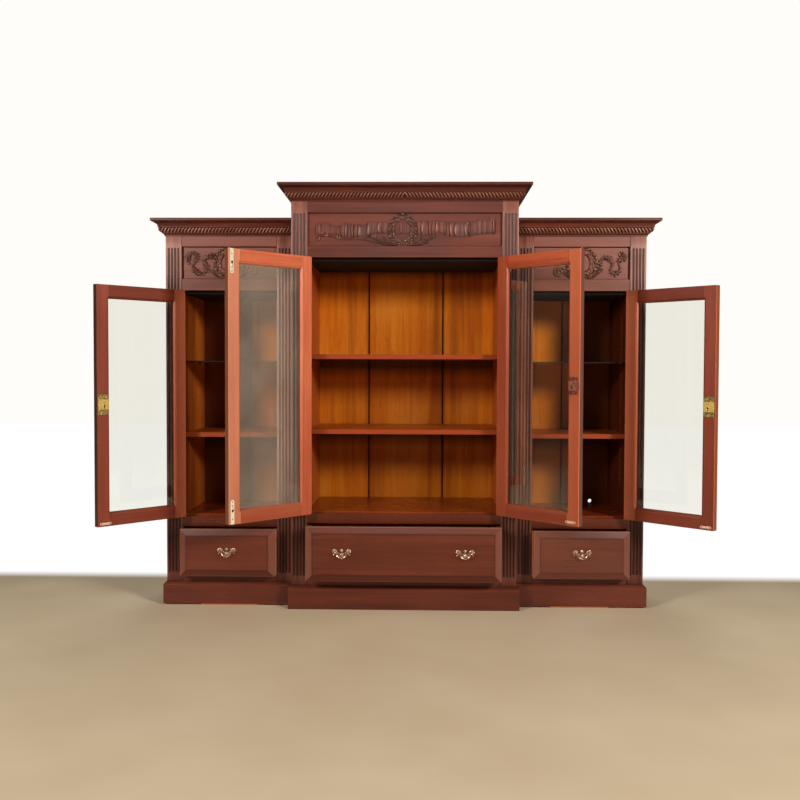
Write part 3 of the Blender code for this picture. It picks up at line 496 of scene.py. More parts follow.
def carve_centre(material, cloth):
    ground = frieze_ground("centre")
    bm = bmesh.new()
    for folds, height in ((LEFT_BANNER, 0.0085), (RIGHT_BANNER, 0.0085), (MIDDLE_BANNER, 0.0050)):
        add_banner(bm, folds, ground, height)
    piece("centre_frieze_banner", bm, cloth, 60)
    bm = bmesh.new()
    middle = -0.008
    add_wreath(bm, middle, 1.4895, ground, 0.0435, 0.0165, 1.22)
    for side in (-1, 1):
        spray = ((middle + side * 0.026, 1.4375), (middle + side * 0.118, 1.464))
        add_spray(bm, *spray, ground, 8, side, 0.010)
        start = 1.2 if side > 0 else 1.9
        add_curl(bm, middle + side * 0.094, 1.446, ground, 0.011, 1.25, start, 0.005, 0.0055, side)
        add_curl(bm, middle + side * 0.070, 1.457, ground, 0.009, 1.1, start, 0.0045, 0.0055, -side)
    for x, z, size, start, way in (
        (-0.338, 1.459, 0.0085, 3.1, 1), (-0.306, 1.470, 0.0065, 1.6, -1), (-0.257, 1.463, 0.009, 1.6, 1),
        (-0.120, 1.469, 0.008, 1.6, -1), (0.341, 1.529, 0.007, 0.4, 1), (0.246, 1.516, 0.0055, 1.0, 1),
    ):
        add_curl(bm, x, z, ground, size, 1.15, start, 0.0045, 0.0075, way)
    add_ribbon(bm, metres(TRAIL), ground, 0.005, 0.006, 0.15)
    piece("centre_frieze_carving", bm, material, 60)


def carve_wing(name, side, scroll, material):
    ground = frieze_ground(name)
    middle = side * 0.699
    bm = bmesh.new()
    add_wreath(bm, middle, 1.3675, ground, 0.0470, 0.0190, 1.12)
    add_circle_bead(bm, middle, 1.3675, ground, 0.0350, 0.0035, 0.0030)
    add_vine(bm, metres(scroll), ground)
    for way, reach, rise in ((side, 0.070, 1.334), (-side, 0.066, 1.330)):
        spray = ((middle + way * 0.020, 1.3155), (middle + way * reach, rise))
        add_spray(bm, *spray, ground, 6, way, 0.006)
    knot = (middle - side * 0.089, 1.333)
    add_curl(bm, *knot, ground, 0.023, 1.6, 0.4 if side > 0 else 2.7, 0.008, 0.0065, side)
    for turn in around(6):
        spot = (knot[0] + 0.011 * cos(turn), knot[1] + 0.011 * sin(turn))
        add_leaf(bm, *spot, ground, turn + side * 0.9, 0.016, 0.009, 0.0075, side * 0.9)
    piece(name + "_frieze_carving", bm, material, 60)


# Cornices with their rope moulding, as pairs of how far a place stands out and how high it lies
CORNICE_LOW = metres([
    (3, 0), (3, 4), (4.2, 5.2), (7.2, 7), (9.2, 8.6), (9.8, 9.6),
    (9.8, 10.6), (19.2, 31.2), (23.6, 31.2), (24.2, 31.8), (24.2, 32.6),
])
COVE = metres(((24.2, 32.6), (40.8, 51.8)))
CORNICE_TOP = metres([
    (40.8, 53), (41.6, 53.8), (47, 54), (47.8, 54.7), (48, 56), (48, 63.6), (47.4, 64.8), (46.6, 65),
])
ROPE_PITCH = 0.0135


def cornice_section():
    points = list(CORNICE_LOW)
    (low_out, low_rise), (high_out, high_rise) = COVE
    for step in range(1, 9):
        turn = pi / 2 * step / 8
        out = low_out + (high_out - low_out) * (1 - cos(turn))
        points.append((out, low_rise + (high_rise - low_rise) * sin(turn)))
    return points + CORNICE_TOP


def cornice_runs(left, right, front, rear, left_return, right_return):
    # Each run: its corner places, the way out of the wall, and which ends are mitred.
    runs = [((left, front), (right, front), (0, -1), left_return, right_return)]
    if left_return:
        runs.append(((left, rear), (left, front), (-1, 0), 0, 1))
    if right_return:
        runs.append(((right, front), (right, rear), (1, 0), 1, 0))
    return runs


def run_point(run, out, height, share=0, length=None):
    # A place along a run, by its share from end to end or by its length from the middle.
    start, end, way, mitre_start, mitre_end = run
    first = Vector(start)
    last = Vector(end)
    ahead = (last - first).normalized()
    middle = (first + last) / 2
    first = first - ahead * out * mitre_start
    last = last + ahead * out * mitre_end
    if length is None:
        spot = first + (last - first) * share
    else:
        spot = middle + ahead * min(max(length, (first - middle).dot(ahead)), (last - middle).dot(ahead))
    return (spot.x + way[0] * out, spot.y + way[1] * out, height)


def add_rope(parts, run, half, lean, foot):
    # A run of slanted lobes, sorted by their height into grooves, sides and crests.
    per_lobe = 8
    rows_up = 8
    length = (Vector(run[1]) - Vector(run[0])).length + 0.06
    start = -length / 2 if half <= 0 else 0.0
    stop = length / 2 if half >= 0 else 0.0
    rows = []
    for column in range(ceil((stop - start) / ROPE_PITCH) * per_lobe + 1):
        swell = abs(sin(pi * (column % per_lobe) / per_lobe)) ** 0.55
        along = column * ROPE_PITCH / per_lobe
        along = start + along if half >= 0 else stop - along
        row = []
        for step in range(rows_up + 1):
            up = step / rows_up
            out = 0.0098 + 0.0094 * up - 0.0006 + sin(pi * up) ** 0.55 * (0.0016 + 0.0062 * swell)
            skew = along + lean * (up - 0.5) * ROPE_PITCH
            if half and skew * half <= 0:
                skew = 0.0
            row.append(run_point(run, out, foot + (0.0108 + 0.0202 * up), length=skew))
        rows.append(row)
    for column in range(len(rows) - 1):
        sheet(parts[(0, 0, 1, 2, 2, 1, 1, 0)[column % per_lobe]], rows[column:column + 2])


def build_cornice(name, left, right, left_return, right_return, slants, material, ropes):
    low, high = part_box(name)
    rear = high.y
    foot = low.z
    front = low.y + 0.048
    section = cornice_section()
    runs = cornice_runs(left, right, front, rear, left_return, right_return)
    bm = bmesh.new()
    for run in runs:
        sheet(bm, [[run_point(run, out, foot + rise, share) for share in (0, 1)] for out, rise in section])

    def plan(out, rise):
        # The corners at one height, from the front's left one round to the rear's.
        west = left - out * left_return
        east = right + out * right_return
        places = ((west, front - out), (east, front - out), (east, rear), (west, rear))
        return [(*place, foot + rise) for place in places]

    fill(bm, plan(*section[-1]))
    fill(bm, plan(*section[0])[::-1])
    fill(bm, [plan(*level)[3] for level in section] + [plan(*level)[2] for level in section[::-1]])
    for end, turned_back in ((left, left_return), (right, right_return)):
        if not turned_back:
            edge = [(end, front - out, foot + rise) for out, rise in section]
            fill(bm, edge + [(end, rear, foot + section[-1][1]), (end, rear, foot)])
    weld(bm, 0.00001)
    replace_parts(piece(name + "_moulding", bm, material, 30), name)
    # The rope's grooves take a painted shade and its crests a painted highlight.
    parts = [bmesh.new() for _ in ropes]
    for run, slant in zip(runs, slants):
        if isinstance(slant, tuple):
            add_rope(parts, run, -1, slant[0], foot)
            add_rope(parts, run, 1, slant[1], foot)
        else:
            add_rope(parts, run, 0, slant, foot)
    for tier, bm, rope in zip(("groove", "side", "crest"), parts, ropes):
        weld(bm, 0.000001)
        piece(name + "_rope_" + tier, bm, rope, 75)


# Pilasters with round ended flutes, and the middle of each
PILASTERS = {
    "left_outer": -0.92, "left_inner": -0.4765, "centre_left": -0.412,
    "centre_right": 0.412, "right_inner": 0.4765, "right_outer": 0.92,
}
FLUTES = [(index - 1.5) * 0.0128 for index in range(4)]
FLUTE_REACH = 0.0044
FLUTE_DEPTH = 0.0034


def flute_depth_at(x, z, low, high):
    radius = (FLUTE_REACH ** 2 + FLUTE_DEPTH ** 2) / (2 * FLUTE_DEPTH)
    beyond = max(low + FLUTE_REACH - z, z - (high - FLUTE_REACH), 0.0)
    left = [radius ** 2 - (x - flute) ** 2 - beyond ** 2 for flute in FLUTES]
    return max(0.0, sqrt(max(0.0, *left)) - (radius - FLUTE_DEPTH))


def build_pilaster(name, middle, material):
    low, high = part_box(name)
    front = 0.0 if name.startswith("centre") else WING_BACK
    rear = front + 0.008
    half = 0.0315
    ease = 0.0006
    foot = low.z + 0.036
    head = high.z - 0.047
    xs = [-half, ease - half, 0.003 - half]
    xs += [flute + FLUTE_REACH * sin(pi / 2 * step / 5) for flute in FLUTES for step in range(-5, 6)]
    xs += [half - 0.003, half - ease, half]
    ends = [FLUTE_REACH * (1 - cos(pi / 2 * step / 6)) for step in range(7)]
    zs = [low.z, low.z + ease, *(foot + end for end in ends), *(head - end for end in ends[::-1])]
    zs += [high.z - ease, high.z]
    rows = []
    for z in zs:
        row = [(middle - half, rear, z)]
        for x in xs:
            eased = ease if x in (-half, half) or z in (low.z, high.z) else 0.0
            row.append((middle + x, front + eased + flute_depth_at(x, z, foot, head), z))
        rows.append(row + [(middle + half, rear, z)])
    bm = bmesh.new()
    sheet(bm, rows)
    for z in (low.z, high.z):
        fill(bm, [(middle + x, y, z) for x, y in (
            (-half, front + ease), (half, front + ease), (half, rear), (-half, rear),
        )])
    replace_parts(piece(name + "_fluted", bm, material, 50), name)


# Camera at the photograph's viewing angle, with its yaw, pitch and roll in degrees
CAMERA_PLACE = (0.0582, -3.6406, 0.9445)
CAMERA_TURNS = (-1.17, 1.86, 0.19)
CAMERA_LENS = 41.85


def place_camera():
    camera = bpy.data.cameras.new("camera")
    camera.sensor_width = 36
    camera.lens = CAMERA_LENS
    thing = show("camera", camera)
    yaw, pitch, roll = (radians(value) for value in CAMERA_TURNS)
    ahead = Vector((sin(yaw) * cos(pitch), cos(yaw) * cos(pitch), -sin(pitch)))
    right = Vector((cos(yaw), -sin(yaw), 0))
    up = right.cross(ahead)
    tilted_right = right * cos(roll) + up * sin(roll)
    tilted_up = up * cos(roll) - right * sin(roll)
    turn = Matrix((tilted_right, tilted_up, -ahead)).transposed()
    thing.matrix_world = Matrix.Translation(CAMERA_PLACE) @ turn.to_4x4()
    bpy.context.scene.camera = thing


# Studio light, floor and background
def add_lamp(name, place, target, size, power):
    lamp = bpy.data.lights.new(name, "AREA")
    lamp.shape = "DISK"
    lamp.size = size
    lamp.energy = power
    lamp.color = (1.0, 0.95, 0.88)
    thing = show(name, lamp)
    way = Vector(target) - Vector(place)
    thing.matrix_world = Matrix.Translation(place) @ way.to_track_quat("-Z", "Y").to_matrix().to_4x4()
    return thing


def light_studio():
    add_lamp("key_right", (2.9, -3.4, 2.35), (0.0, 0.1, 0.85), 0.9, 155)
    add_lamp("key_left", (-2.9, -3.4, 2.35), (0.0, 0.1, 0.85), 0.9, 122)
    add_lamp("back", (0.0, 4.6, 3.4), (0.0, 0.4, 0.9), 2.0, 75)
    # The middle lamp only gives the polish its sheen.
    add_lamp("sheen", (0.0, -4.3, 2.3), (0.0, 0.2, 0.95), 1.4, 16).visible_diffuse = False
    world = bpy.data.worlds.new("studio")
    bpy.context.scene.world = world
    world.use_nodes = True
    nodes_of = world.node_tree.nodes
    link = world.node_tree.links.new
    path = nodes_of.new("ShaderNodeLightPath")
    seen = nodes_of.new("ShaderNodeMath")
    seen.operation = "MAXIMUM"
    link(path.outputs["Is Camera Ray"], seen.inputs[0])
    link(path.outputs["Is Transmission Ray"], seen.inputs[1])
    spread = nodes_of.new("ShaderNodeMapRange")
    spread.inputs["To Min"].default_value = 0.035
    link(seen.outputs[0], spread.inputs["Value"])
    link(spread.outputs[0], nodes_of["Background"].inputs["Strength"])
    nodes_of["Background"].inputs["Color"].default_value = (1.0, 0.98, 0.95, 1.0)
    bpy.context.scene.view_settings.view_transform = "Standard"


def lay_floor():
    graph = Graph("studio_floor")
    x, y, _ = graph.parts()
    beyond = y.span(0.52, 0.64) | abs(x).span(3.0, 4.0)
    cloud = graph.noise(graph.place, 2.2, 3, 0.5).span(0.3, 0.7)
    graph.finish(Base_Color=graph.mix(cloud, (212, 192, 160), (222, 204, 174)), Roughness=0.55)
    glow = graph.add("Emission", {"Color": (1, 1, 1, 1), "Strength": 1.0})
    seen = graph.add("LightPath", which="Is Camera Ray")
    graph.end(graph.add("MixShader", {0: beyond * seen, 1: Field(graph, graph.shader.outputs[0]), 2: glow}))
    bm = bmesh.new()
    sheet(bm, [[(x / 2, y / 2, -0.0005) for x in range(-24, 25)] for y in range(-24, 25)])
    mesh = bpy.data.meshes.new("floor")
    bm.to_mesh(mesh)
    bm.free()
    mesh.materials.append(graph.material)
    show("floor", mesh)


# Finishes
DARK = (72, 24, 12)
# How far the wings stand behind the centre, and the distance from the middle that tells them apart
WING_BACK = 0.056
WING_START = 0.46
# The depth at which the centre frieze's carving begins
PANEL_GROUND = 0.0123
# The inner faces of the cupboards' side walls
CUPBOARD_WALLS = (0.380, 0.509, 0.8875)
# Shelf pin holes: their pitch, a height half a pitch below one of them, and the depths of their two rows
HOLE_PITCH = 0.0254
HOLE_START = 0.4337
HOLE_ROWS = (0.145, 0.336)
BACK_JOINTS = (-0.682, -0.1615, 0.1615, 0.682)
# The step round each drawer's raised field, from the front's edge
FIELD_INSET = 0.025
WOOD_SHELVES = ("centre_upper_shelf", "centre_lower_shelf", "left_wood_shelf", "right_wood_shelf")


def set_finish(material, *names):
    for name in names:
        slots = nodes[name].data.materials
        slots.clear()
        slots.append(material)


def raw_strip(graph, colour, rough):
    x, _, z = graph.parts()
    return colour.mix((z < 0.0053) * (abs(x) > WING_START), (176, 114, 64)), rough


def inner_walls(graph, colour, rough):
    # The walls inside the cupboards are amber, with rows of shelf pin holes.
    x, y, z = graph.parts()
    wide = abs(x)
    wall = reduce(or_, [abs(wide - place) < 0.0006 for place in CUPBOARD_WALLS]) * (z > 0.36)
    # Darker in the wings; the outer walls are painted darker still as shade, the right one most.
    wing = wide > 0.45
    stain = graph.mix(wing, (186, 88, 28), (140, 56, 16))
    stain = stain.mix(wide > 0.8, graph.mix(x > 0.0, (98, 36, 12), (76, 24, 6)))
    # A painted streak of light runs down the left cupboard's outer wall.
    drift = graph.drawn((1, 14, 2.5), 3, 0.6)
    deep = drift * 0.16 + (y - 0.08)
    streak = deep.span(0.10, 0.18, 0.0, 0.4) + deep.span(0.25, 0.31, 0.0, 0.55)
    streak = streak * (x < -0.8) * z.span(0.50, 0.85, 0.6, 1.0)
    stain = stain.mix(streak, (250, 134, 46))
    colour = colour.mix(wall * 0.85, stain)
    up = (z - HOLE_START) % HOLE_PITCH - HOLE_PITCH / 2
    inside = (z > 0.47) * (z < 1.17) * wall
    for depth, reach in ((wing * WING_BACK + HOLE_ROWS[0], 0.5), (HOLE_ROWS[1], 0.15)):
        deep = y - depth
        away = (up * up + deep * deep) ** 0.5
        # Painted glints of light round the holes in the wings' walls.
        glint = away.span(0.0105, 0.0060, 0.0, reach) * inside
        colour = colour.mix(glint * wing, (226, 118, 40))
        colour = colour.mix((away < 0.0029) * inside, (22, 9, 6))
    return colour, rough


def relief(graph, colour, rough):
    # Carving is painted paler on its high places as a highlight, and darker on its low places as shade.
    x, y, _ = graph.parts()
    rise = (abs(x) > WING_START) * WING_BACK + PANEL_GROUND - y
    colour = colour.mix(rise.span(0.0036, 0.0018, 0.0, 0.88), (34, 11, 6))
    highlight_breakup = graph.noise(graph.place, 240, 2, 0.5).span(0.44, 0.56, 0.35, 1.0)
    return colour.mix(rise.span(0.0056, 0.0082, 0.0, 0.9) * highlight_breakup, (236, 186, 160)), rough


def patchy_rope_highlight(graph, colour, rough):
    # The painted highlight on the crests comes and goes along the rope, and is weaker on the middle cornice.
    patch = graph.noise(graph.place, 16, 3, 0.6).span(0.40, 0.62, 0.75, 0.0)
    return colour.mix(patch | (graph.parts()[2] > 1.58) * 0.62, (108, 50, 32)), rough


def cloth_relief(graph, colour, rough):
    # The banner keeps the panel's colour, with painted shade in its creases and a thin painted highlight on
    # its ridges.
    rise = PANEL_GROUND - graph.parts()[1]
    colour = colour.mix(rise.span(0.0040, 0.0024, 0.0, 0.45), (50, 18, 11))
    return colour.mix(rise.span(0.0070, 0.0087, 0.0, 0.75), (226, 174, 152)), rough


def flute_shade(graph, colour, rough):
    # Painted shade lies in the flutes and on the pilasters' sides, and they grow darker towards the feet. The
    # ends, the tops and what the open door covers are painted paler, as light.
    x, y, z = graph.parts()
    wing = abs(x) > 0.4438
    colour = colour.mix(z.span(0.42, 0.30, 0.0, 0.6), (78, 28, 17))
    high = (1.0 - wing) * z.span(1.36, 1.40)
    covered = (x < -0.379) * (x > -0.512) * z.span(1.36, 1.30)
    pale = (abs(x) > 0.8875) * 0.2 | high * 0.1 | covered * 0.8
    colour = colour.mix(pale * z.span(0.42, 0.60), (206, 166, 156))
    return colour.mix((y - wing * WING_BACK).span(0.0004, 0.0030, 0.0, 0.84), (34, 13, 9)), rough


def ceiling_shade(graph, colour, rough):
    # The ceiling board inside each cupboard is painted near black as shade, and made rough.
    x, y, z = graph.parts()
    wing = abs(x) > WING_START
    # The wing friezes take a painted lilac sheen, more on the right.
    colour = colour.mix(wing * ((x > 0.0) * 0.1 + 0.22), (160, 104, 88))
    inside = (graph.parts(graph.face())[2] < -0.5) * (y > 0.03)
    inside = inside | (z < wing * (1.2581 - 1.3831) + 1.3831)
    # A painted shadow of the pilasters darkens the sunk field at its ends.
    ends = wing * (abs(x) > 0.8817) | (1.0 - wing) * (x > 0.376)
    colour = colour.mix((y - wing * WING_BACK > 0.0105) * ends * 0.85, (44, 15, 9))
    return colour.mix(inside * 0.96, (8, 2, 1)), (inside * 0.7 + rough) & 1.0


def dress_case():
    upright = wood(
        "upright_mahogany", DARK, (100, 40, 22), (126, 56, 34), "Z", 2.0, 0.36, 0.4, 0.35, inner_walls,
    )
    frieze = wood(
        "frieze_mahogany", DARK, (106, 46, 30), (130, 64, 46), "X", 4.0, 0.28, 0.6, 0.3, ceiling_shade,
    )
    carving = wood("carved_mahogany", DARK, (104, 46, 30), (132, 66, 46), "X", 5.0, 0.26, 0.35, extra=relief)
    cloth = wood(
        "banner_mahogany", DARK, (104, 46, 30), (130, 64, 44), "X", 5.2, 0.46, 0.3, extra=cloth_relief,
    )
    # Lit and shaded copies of one wood for the rope: painted shade in the grooves, a painted highlight on the
    # crests.
    crest = ((140, 88, 64), (188, 138, 112), (228, 192, 168))
    rope = (
        wood("rope_groove_mahogany", (30, 10, 5), (44, 16, 9), (60, 24, 14), "X", 5.4, 0.45),
        wood("rope_side_mahogany", DARK, (112, 54, 34), (146, 82, 58), "X", 5.5, 0.24, 0.3),
        wood("rope_crest_mahogany", *crest, "X", 5.6, 0.20, 0.2, extra=patchy_rope_highlight),
    )
    shaft = wood(
        "pilaster_mahogany", DARK, (130, 72, 56), (166, 106, 86), "Z", 1.0, 0.27, 0.3, 0.9, flute_shade,
    )
    moulding = wood("moulding_mahogany", (57, 18, 8), (81, 29, 15), (107, 44, 25), "X", 6.0, 0.27, 0.55, 0.4)
    foot = ((76, 27, 14), (92, 36, 20), (108, 46, 27))
    plinth = wood("plinth_mahogany", *foot, "X", 7.0, 0.36, 0.4, 0.4, raw_strip)
    set_finish(upright, "left_end_upright", "right_end_upright", "left_divider", "right_divider")
    set_finish(frieze, *(side + "_frieze" for side in SIDES))
    set_finish(plinth, *(side + "_plinth" for side in SIDES))
    build_cornice("left_cornice", -0.9525, -0.4443, 1, 0, (1, 1), moulding, rope)
    build_cornice("centre_cornice", -0.444, 0.444, 1, 1, ((1, -1), 1, -1), moulding, rope)
    build_cornice("right_cornice", 0.4443, 0.9525, 0, 1, (-1, -1), moulding, rope)
    for name, middle in PILASTERS.items():
        build_pilaster(name + "_pilaster", middle, shaft)
    carve_centre(carving, cloth)
    carve_wing("left", -1, LEFT_SCROLL, carving)
    carve_wing("right", 1, RIGHT_SCROLL, carving)


def floor_rail(graph, colour, rough):
    # The rail in front is darker than the worn floor behind it.
    x, y, _ = graph.parts()
    face = y < (abs(x) > 0.45) * WING_BACK + 0.0035
    colour = colour.mix(face * 0.92, colour.mix(0.8, (78, 30, 20)))
    scuff = graph.drawn((9, 70, 40), 4, 0.7)
    worn = scuff.span(0.60, 0.72) * 0.35
    return colour.mix(worn * (1.0 - face), (186, 110, 66)), worn * 0.5 + rough


def board_lines(graph, colour, rough):
    # Each back board has its own tone, with a dark gap beside it.
    x, y, z = graph.parts()
    gap = reduce(and_, [abs(x - place) for place in BACK_JOINTS])
    board = graph.math("FLOOR", (x + 0.1615) * 3.0)
    shade = graph.add("TexWhiteNoise", {"W": board}, "Value", noise_dimensions="1D")
    colour = colour.mix(shade * 0.35, (160, 74, 14))
    # The wings' outer back boards are painted near black, as shade.
    outer = (x < -0.682) | (x > 0.745)
    colour = colour.mix(outer * 0.85, (84, 26, 2))
    # Painted light on the right cupboard's inner back boards.
    colour = colour.mix((x > 0.45) * (x < 0.745) * 0.85, (255, 146, 20))
    patch = graph.drawn((7, 7, 2.2), 4, 0.6, 0.6)
    colour = colour.mix(patch.span(0.50, 0.72, 0.0, 0.45) * (1.0 - outer), (236, 152, 58))
    colour = colour.mix(gap.span(0.012, 0.0015, 0.0, 0.35), (96, 40, 10))
    # Random dark vertical bands, a painted shade.
    band = graph.drawn((16, 1, 0.9), 3, 0.5)
    colour = colour.mix(band.span(0.52, 0.68, 0.0, 0.5), (126, 54, 6))
    knot = graph.drawn((34, 1, 9), 4, 0.7, 1.5)
    colour = colour.mix(knot.span(0.60, 0.74, 0.0, 0.45), (142, 64, 8))
    # Painted shade below each shelf.
    for name in WOOD_SHELVES:
        low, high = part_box(name)
        below = low.z - z
        near = abs(x - (low.x + high.x) / 2) < (high.x - low.x) / 2 + 0.01
        shade = below.span(0.085, 0.030, 0.0, 0.85) * (below > 0.0) * near
        colour = colour.mix(shade, (34, 10, 2))
    # Painted shade under the centre cupboard's ceiling.
    top = z.span(1.335, 1.372, 0.0, 0.8) * (abs(x) < 0.4)
    colour = colour.mix(top, (48, 16, 3))
    # Painted shade: the boards darken towards the lower cupboards.
    colour = colour.mix(z.span(1.05, 0.60, 0.0, 0.34), (40, 12, 2))
    line = gap < 0.0031
    colour = colour.mix(line, (10, 2, 1))
    # Behind, the boards are plain and unpolished.
    behind = y > 0.4465
    plain = graph.mix(patch.span(0.35, 0.65), (132, 88, 54), (166, 118, 78))
    plain = plain.mix(band.span(0.40, 0.60), (116, 74, 44))
    plain = plain.mix(line, (30, 16, 9))
    return colour.mix(behind, plain), ((line | behind) * 0.4 + rough) & 1.0


def shelf_edge(graph, colour, rough):
    # The lip's front face takes a painted tone for how the light falls on it.
    out = graph.parts(graph.face())[1]
    return colour.mix(out.span(-0.3, -0.9, 0.0, 0.85), (148, 55, 16)), rough


def dress_inside():
    floor = ((98, 35, 9), (129, 51, 14), (152, 67, 22))
    shelf = ((132, 54, 10), (166, 74, 16), (190, 96, 28))
    back = ((210, 104, 10), (234, 128, 16), (250, 156, 34))
    floor = wood("floor_mahogany", *floor, "X", 8.0, 0.20, 0.3, 0.5, floor_rail)
    shelf = wood("shelf_amber", *shelf, "X", 9.0, 0.30, 0.2, 0.5, shelf_edge)
    back = wood("back_amber", *back, "Z", 10.0, 0.44, 0.3, 0.0, board_lines, 0.12)
    set_finish(floor, *(side + "_floor" for side in SIDES))
    set_finish(shelf, *WOOD_SHELVES)
    set_finish(back, "back_boards")


def closed_place(graph, name):
    # The closed door's own coordinates: X from the hinge edge inwards, Z up.
    side, edge, front, angle = DOORS[name][:4]
    turn = -side * radians(angle)
    moved = Matrix.Rotation(turn, 3, "Z") @ Vector((side * edge, front - HINGE_AXIS, 0))
    return graph.mapped(graph.place, turn=(0, 0, turn), shift=tuple(-moved))


# Each door's side, hinge edge, front, opening angle, width, foot and head
DOORS = {
    "left_door": (-1, 0.8875, WING_BACK, 134.0, 0.3745, 0.3575, 1.2565),
    "centre_left_door": (-1, 0.380, 0.0, 135.5, 0.3775, 0.379, 1.3815),
    "centre_right_door": (1, 0.380, 0.0, 136.5, 0.3775, 0.379, 1.3815),
    "right_door": (1, 0.8875, WING_BACK, 136.0, 0.3745, 0.3575, 1.2565),
}
HINGE_AXIS = 0.005
LEAF_REAR = 0.0303
# The doors' own leaves begin this far from the hinge edge.
START = 0.0015
STILE = 0.051
# Each door's free stile with its painted light, low rail and darkening towards the foot, free edge painted
# lit or shaded, and the painted highlight on the arris beside that edge
DOOR_TINTS = {
    "left_door": ((140, 60, 40), (112, 42, 22), (50, 34, 26), (96, 50, 34)),
    "centre_left_door": ((232, 160, 128), (146, 60, 36), (110, 60, 42), (226, 160, 130)),
    "centre_right_door": ((206, 110, 72), (108, 40, 22), (98, 74, 64), (232, 120, 92)),
    "right_door": ((132, 54, 36), (106, 38, 18), (150, 80, 50), (196, 110, 72)),
}
# How much of which tone the hinge stiles take, where they differ from the outer doors'. The outer doors'
# stiles take painted light, the centre right door's painted shade.
HINGE_TINTS = {"centre_left_door": (0.0, (0, 0, 0)), "centre_right_door": (0.45, (112, 40, 18))}


def hinge_levels(name):
    foot, head = DOORS[name][5:]
    return (foot + 0.1075, head - 0.1085)


def door_wood(name, tones, seed):
    side, *_, width, foot, head = DOORS[name]
    dark, _, light = tones
    graph = Graph(name + "_mahogany")
    source = closed_place(graph, name)
    x, y, z = graph.parts(source)
    across = x * float(-side)
    hinge_joint = START + STILE
    free_joint = START + width - STILE
    free = across > free_joint
    inner = (across > hinge_joint) * (across < free_joint)
    upright, height, _, _ = graph.figure(source, "Z", seed, tones, 0.3, 0.6)
    level, level_height, streak, cloud = graph.figure(source, "X", seed + 0.4, tones, 0.3, 0.6)
    colour = upright.mix(inner, level)
    pale, deep, side_face, arris = DOOR_TINTS[name]
    # Painted light on the free stile.
    colour = colour.mix(free * 0.5, pale)
    outer = name in ("left_door", "right_door")
    low_rail = inner * (z < (head + 1.0 if outer else foot + 0.1))
    # Painted light on the outer doors' hinge stiles, painted shade on the centre right door's.
    share, hinge_tint = HINGE_TINTS.get(name, (0.65, (196, 106, 72)))
    colour = colour.mix((across < hinge_joint) * share, hinge_tint)
    colour = colour.mix(low_rail * 0.7 | z.span(head, foot, 0.0, 0.35), deep)
    # The free edge's face is painted lit or shaded, per door, with a painted highlight on the arris.
    edge_face = across > width + 0.0009
    colour = colour.mix(edge_face * 0.9, side_face)
    colour = colour.mix(edge_face * (y > 0.0265), arris)
    joint = abs(across - hinge_joint) & abs(across - free_joint)
    colour = colour.mix(joint.span(0.0011, 0.0003, 0.0, 0.75), scaled(dark, 0.4))
    rounded, normal = graph.soften(0.0014, height.mix(inner, level_height), 0.15, 0.0006)
    # Pale edges: wear and a painted highlight.
    patches = cloud.span(0.40, 0.60, 0.15, 0.8)
    colour = graph.rub_and_highlight_edges(colour, rounded, source, 0.82, patches, scaled(light, 1.2, 22), 0.8, (232, 196, 164))
    # Painted shade in the hollows, by ambient occlusion.
    colour = colour.mix(graph.hollow(0.012).span(0.9, 0.35, 0.0, 0.55), scaled(dark, 0.35))
    hinge = x * x + y * y < 0.0046 ** 2
    for place in hinge_levels(name):
        hinge = hinge | (abs(z - place) < 0.0295) * (across < 0.0006)
    colour = colour.mix(hinge, graph.mix(streak, (150, 112, 56), (200, 160, 84)))
    rough = cloud * 0.16 + 0.28
    shader = {"Base_Color": colour, "Roughness": rough, "Metallic": hinge, "Normal": normal}
    return graph.finish(Specular_IOR_Level=0.4, **shader)


def clear_glass(name, tint, haze, door=None):
    # Thin old glass: clear, with a faint haze and sharp reflections.
    graph = Graph(name)
    clear = graph.add("BsdfTransparent", {"Color": tone(*tint)})
    gloss = graph.add("BsdfGlossy", {"Color": (1, 1, 1, 1), "Roughness": 0.03})
    dust = graph.add("BsdfDiffuse", {"Color": tone(220, 204, 188)})
    shine = graph.add("MixShader", {0: graph.add("Fresnel", {"IOR": 1.5}) * 0.9, 1: clear, 2: gloss})
    veil = graph.noise(graph.place, 5.0, 4, 0.6).span(0.3, 0.75, 0.5, 1.0) * haze
    if door:
        # The haze is thinner towards the hinges.
        veil = veil * abs(graph.parts(closed_place(graph, door))[0]).span(0.115, 0.150, 0.45, 1.0)
    graph.end(graph.add("MixShader", {0: veil, 1: shine, 2: dust}))
    graph.tree.nodes.remove(graph.shader)
    return graph.material


def dress_doors():
    # The doors' tones are lit and shaded copies of one wood: the outer doors painted darkest and the centre
    # left door lightest.
    outer = ((112, 44, 26), (152, 66, 42), (182, 92, 66))
    doors = {
        "left_door": (outer, 0.02),
        "centre_left_door": (((176, 80, 48), (214, 108, 70), (236, 138, 100)), 0.21),
        "centre_right_door": (((150, 60, 32), (188, 86, 50), (212, 114, 74)), 0.01),
        "right_door": (outer, 0.02),
    }
    for index, (name, (tones, haze)) in enumerate(doors.items()):
        set_finish(door_wood(name, tones, 11.0 + index * 1.7), name + "_frame")
        set_finish(clear_glass(name + "_pane", (250, 250, 246), haze, name), name + "_glass")
    set_finish(clear_glass("shelf_glass", (200, 226, 212), 0.03), "left_glass_shelf", "right_glass_shelf")


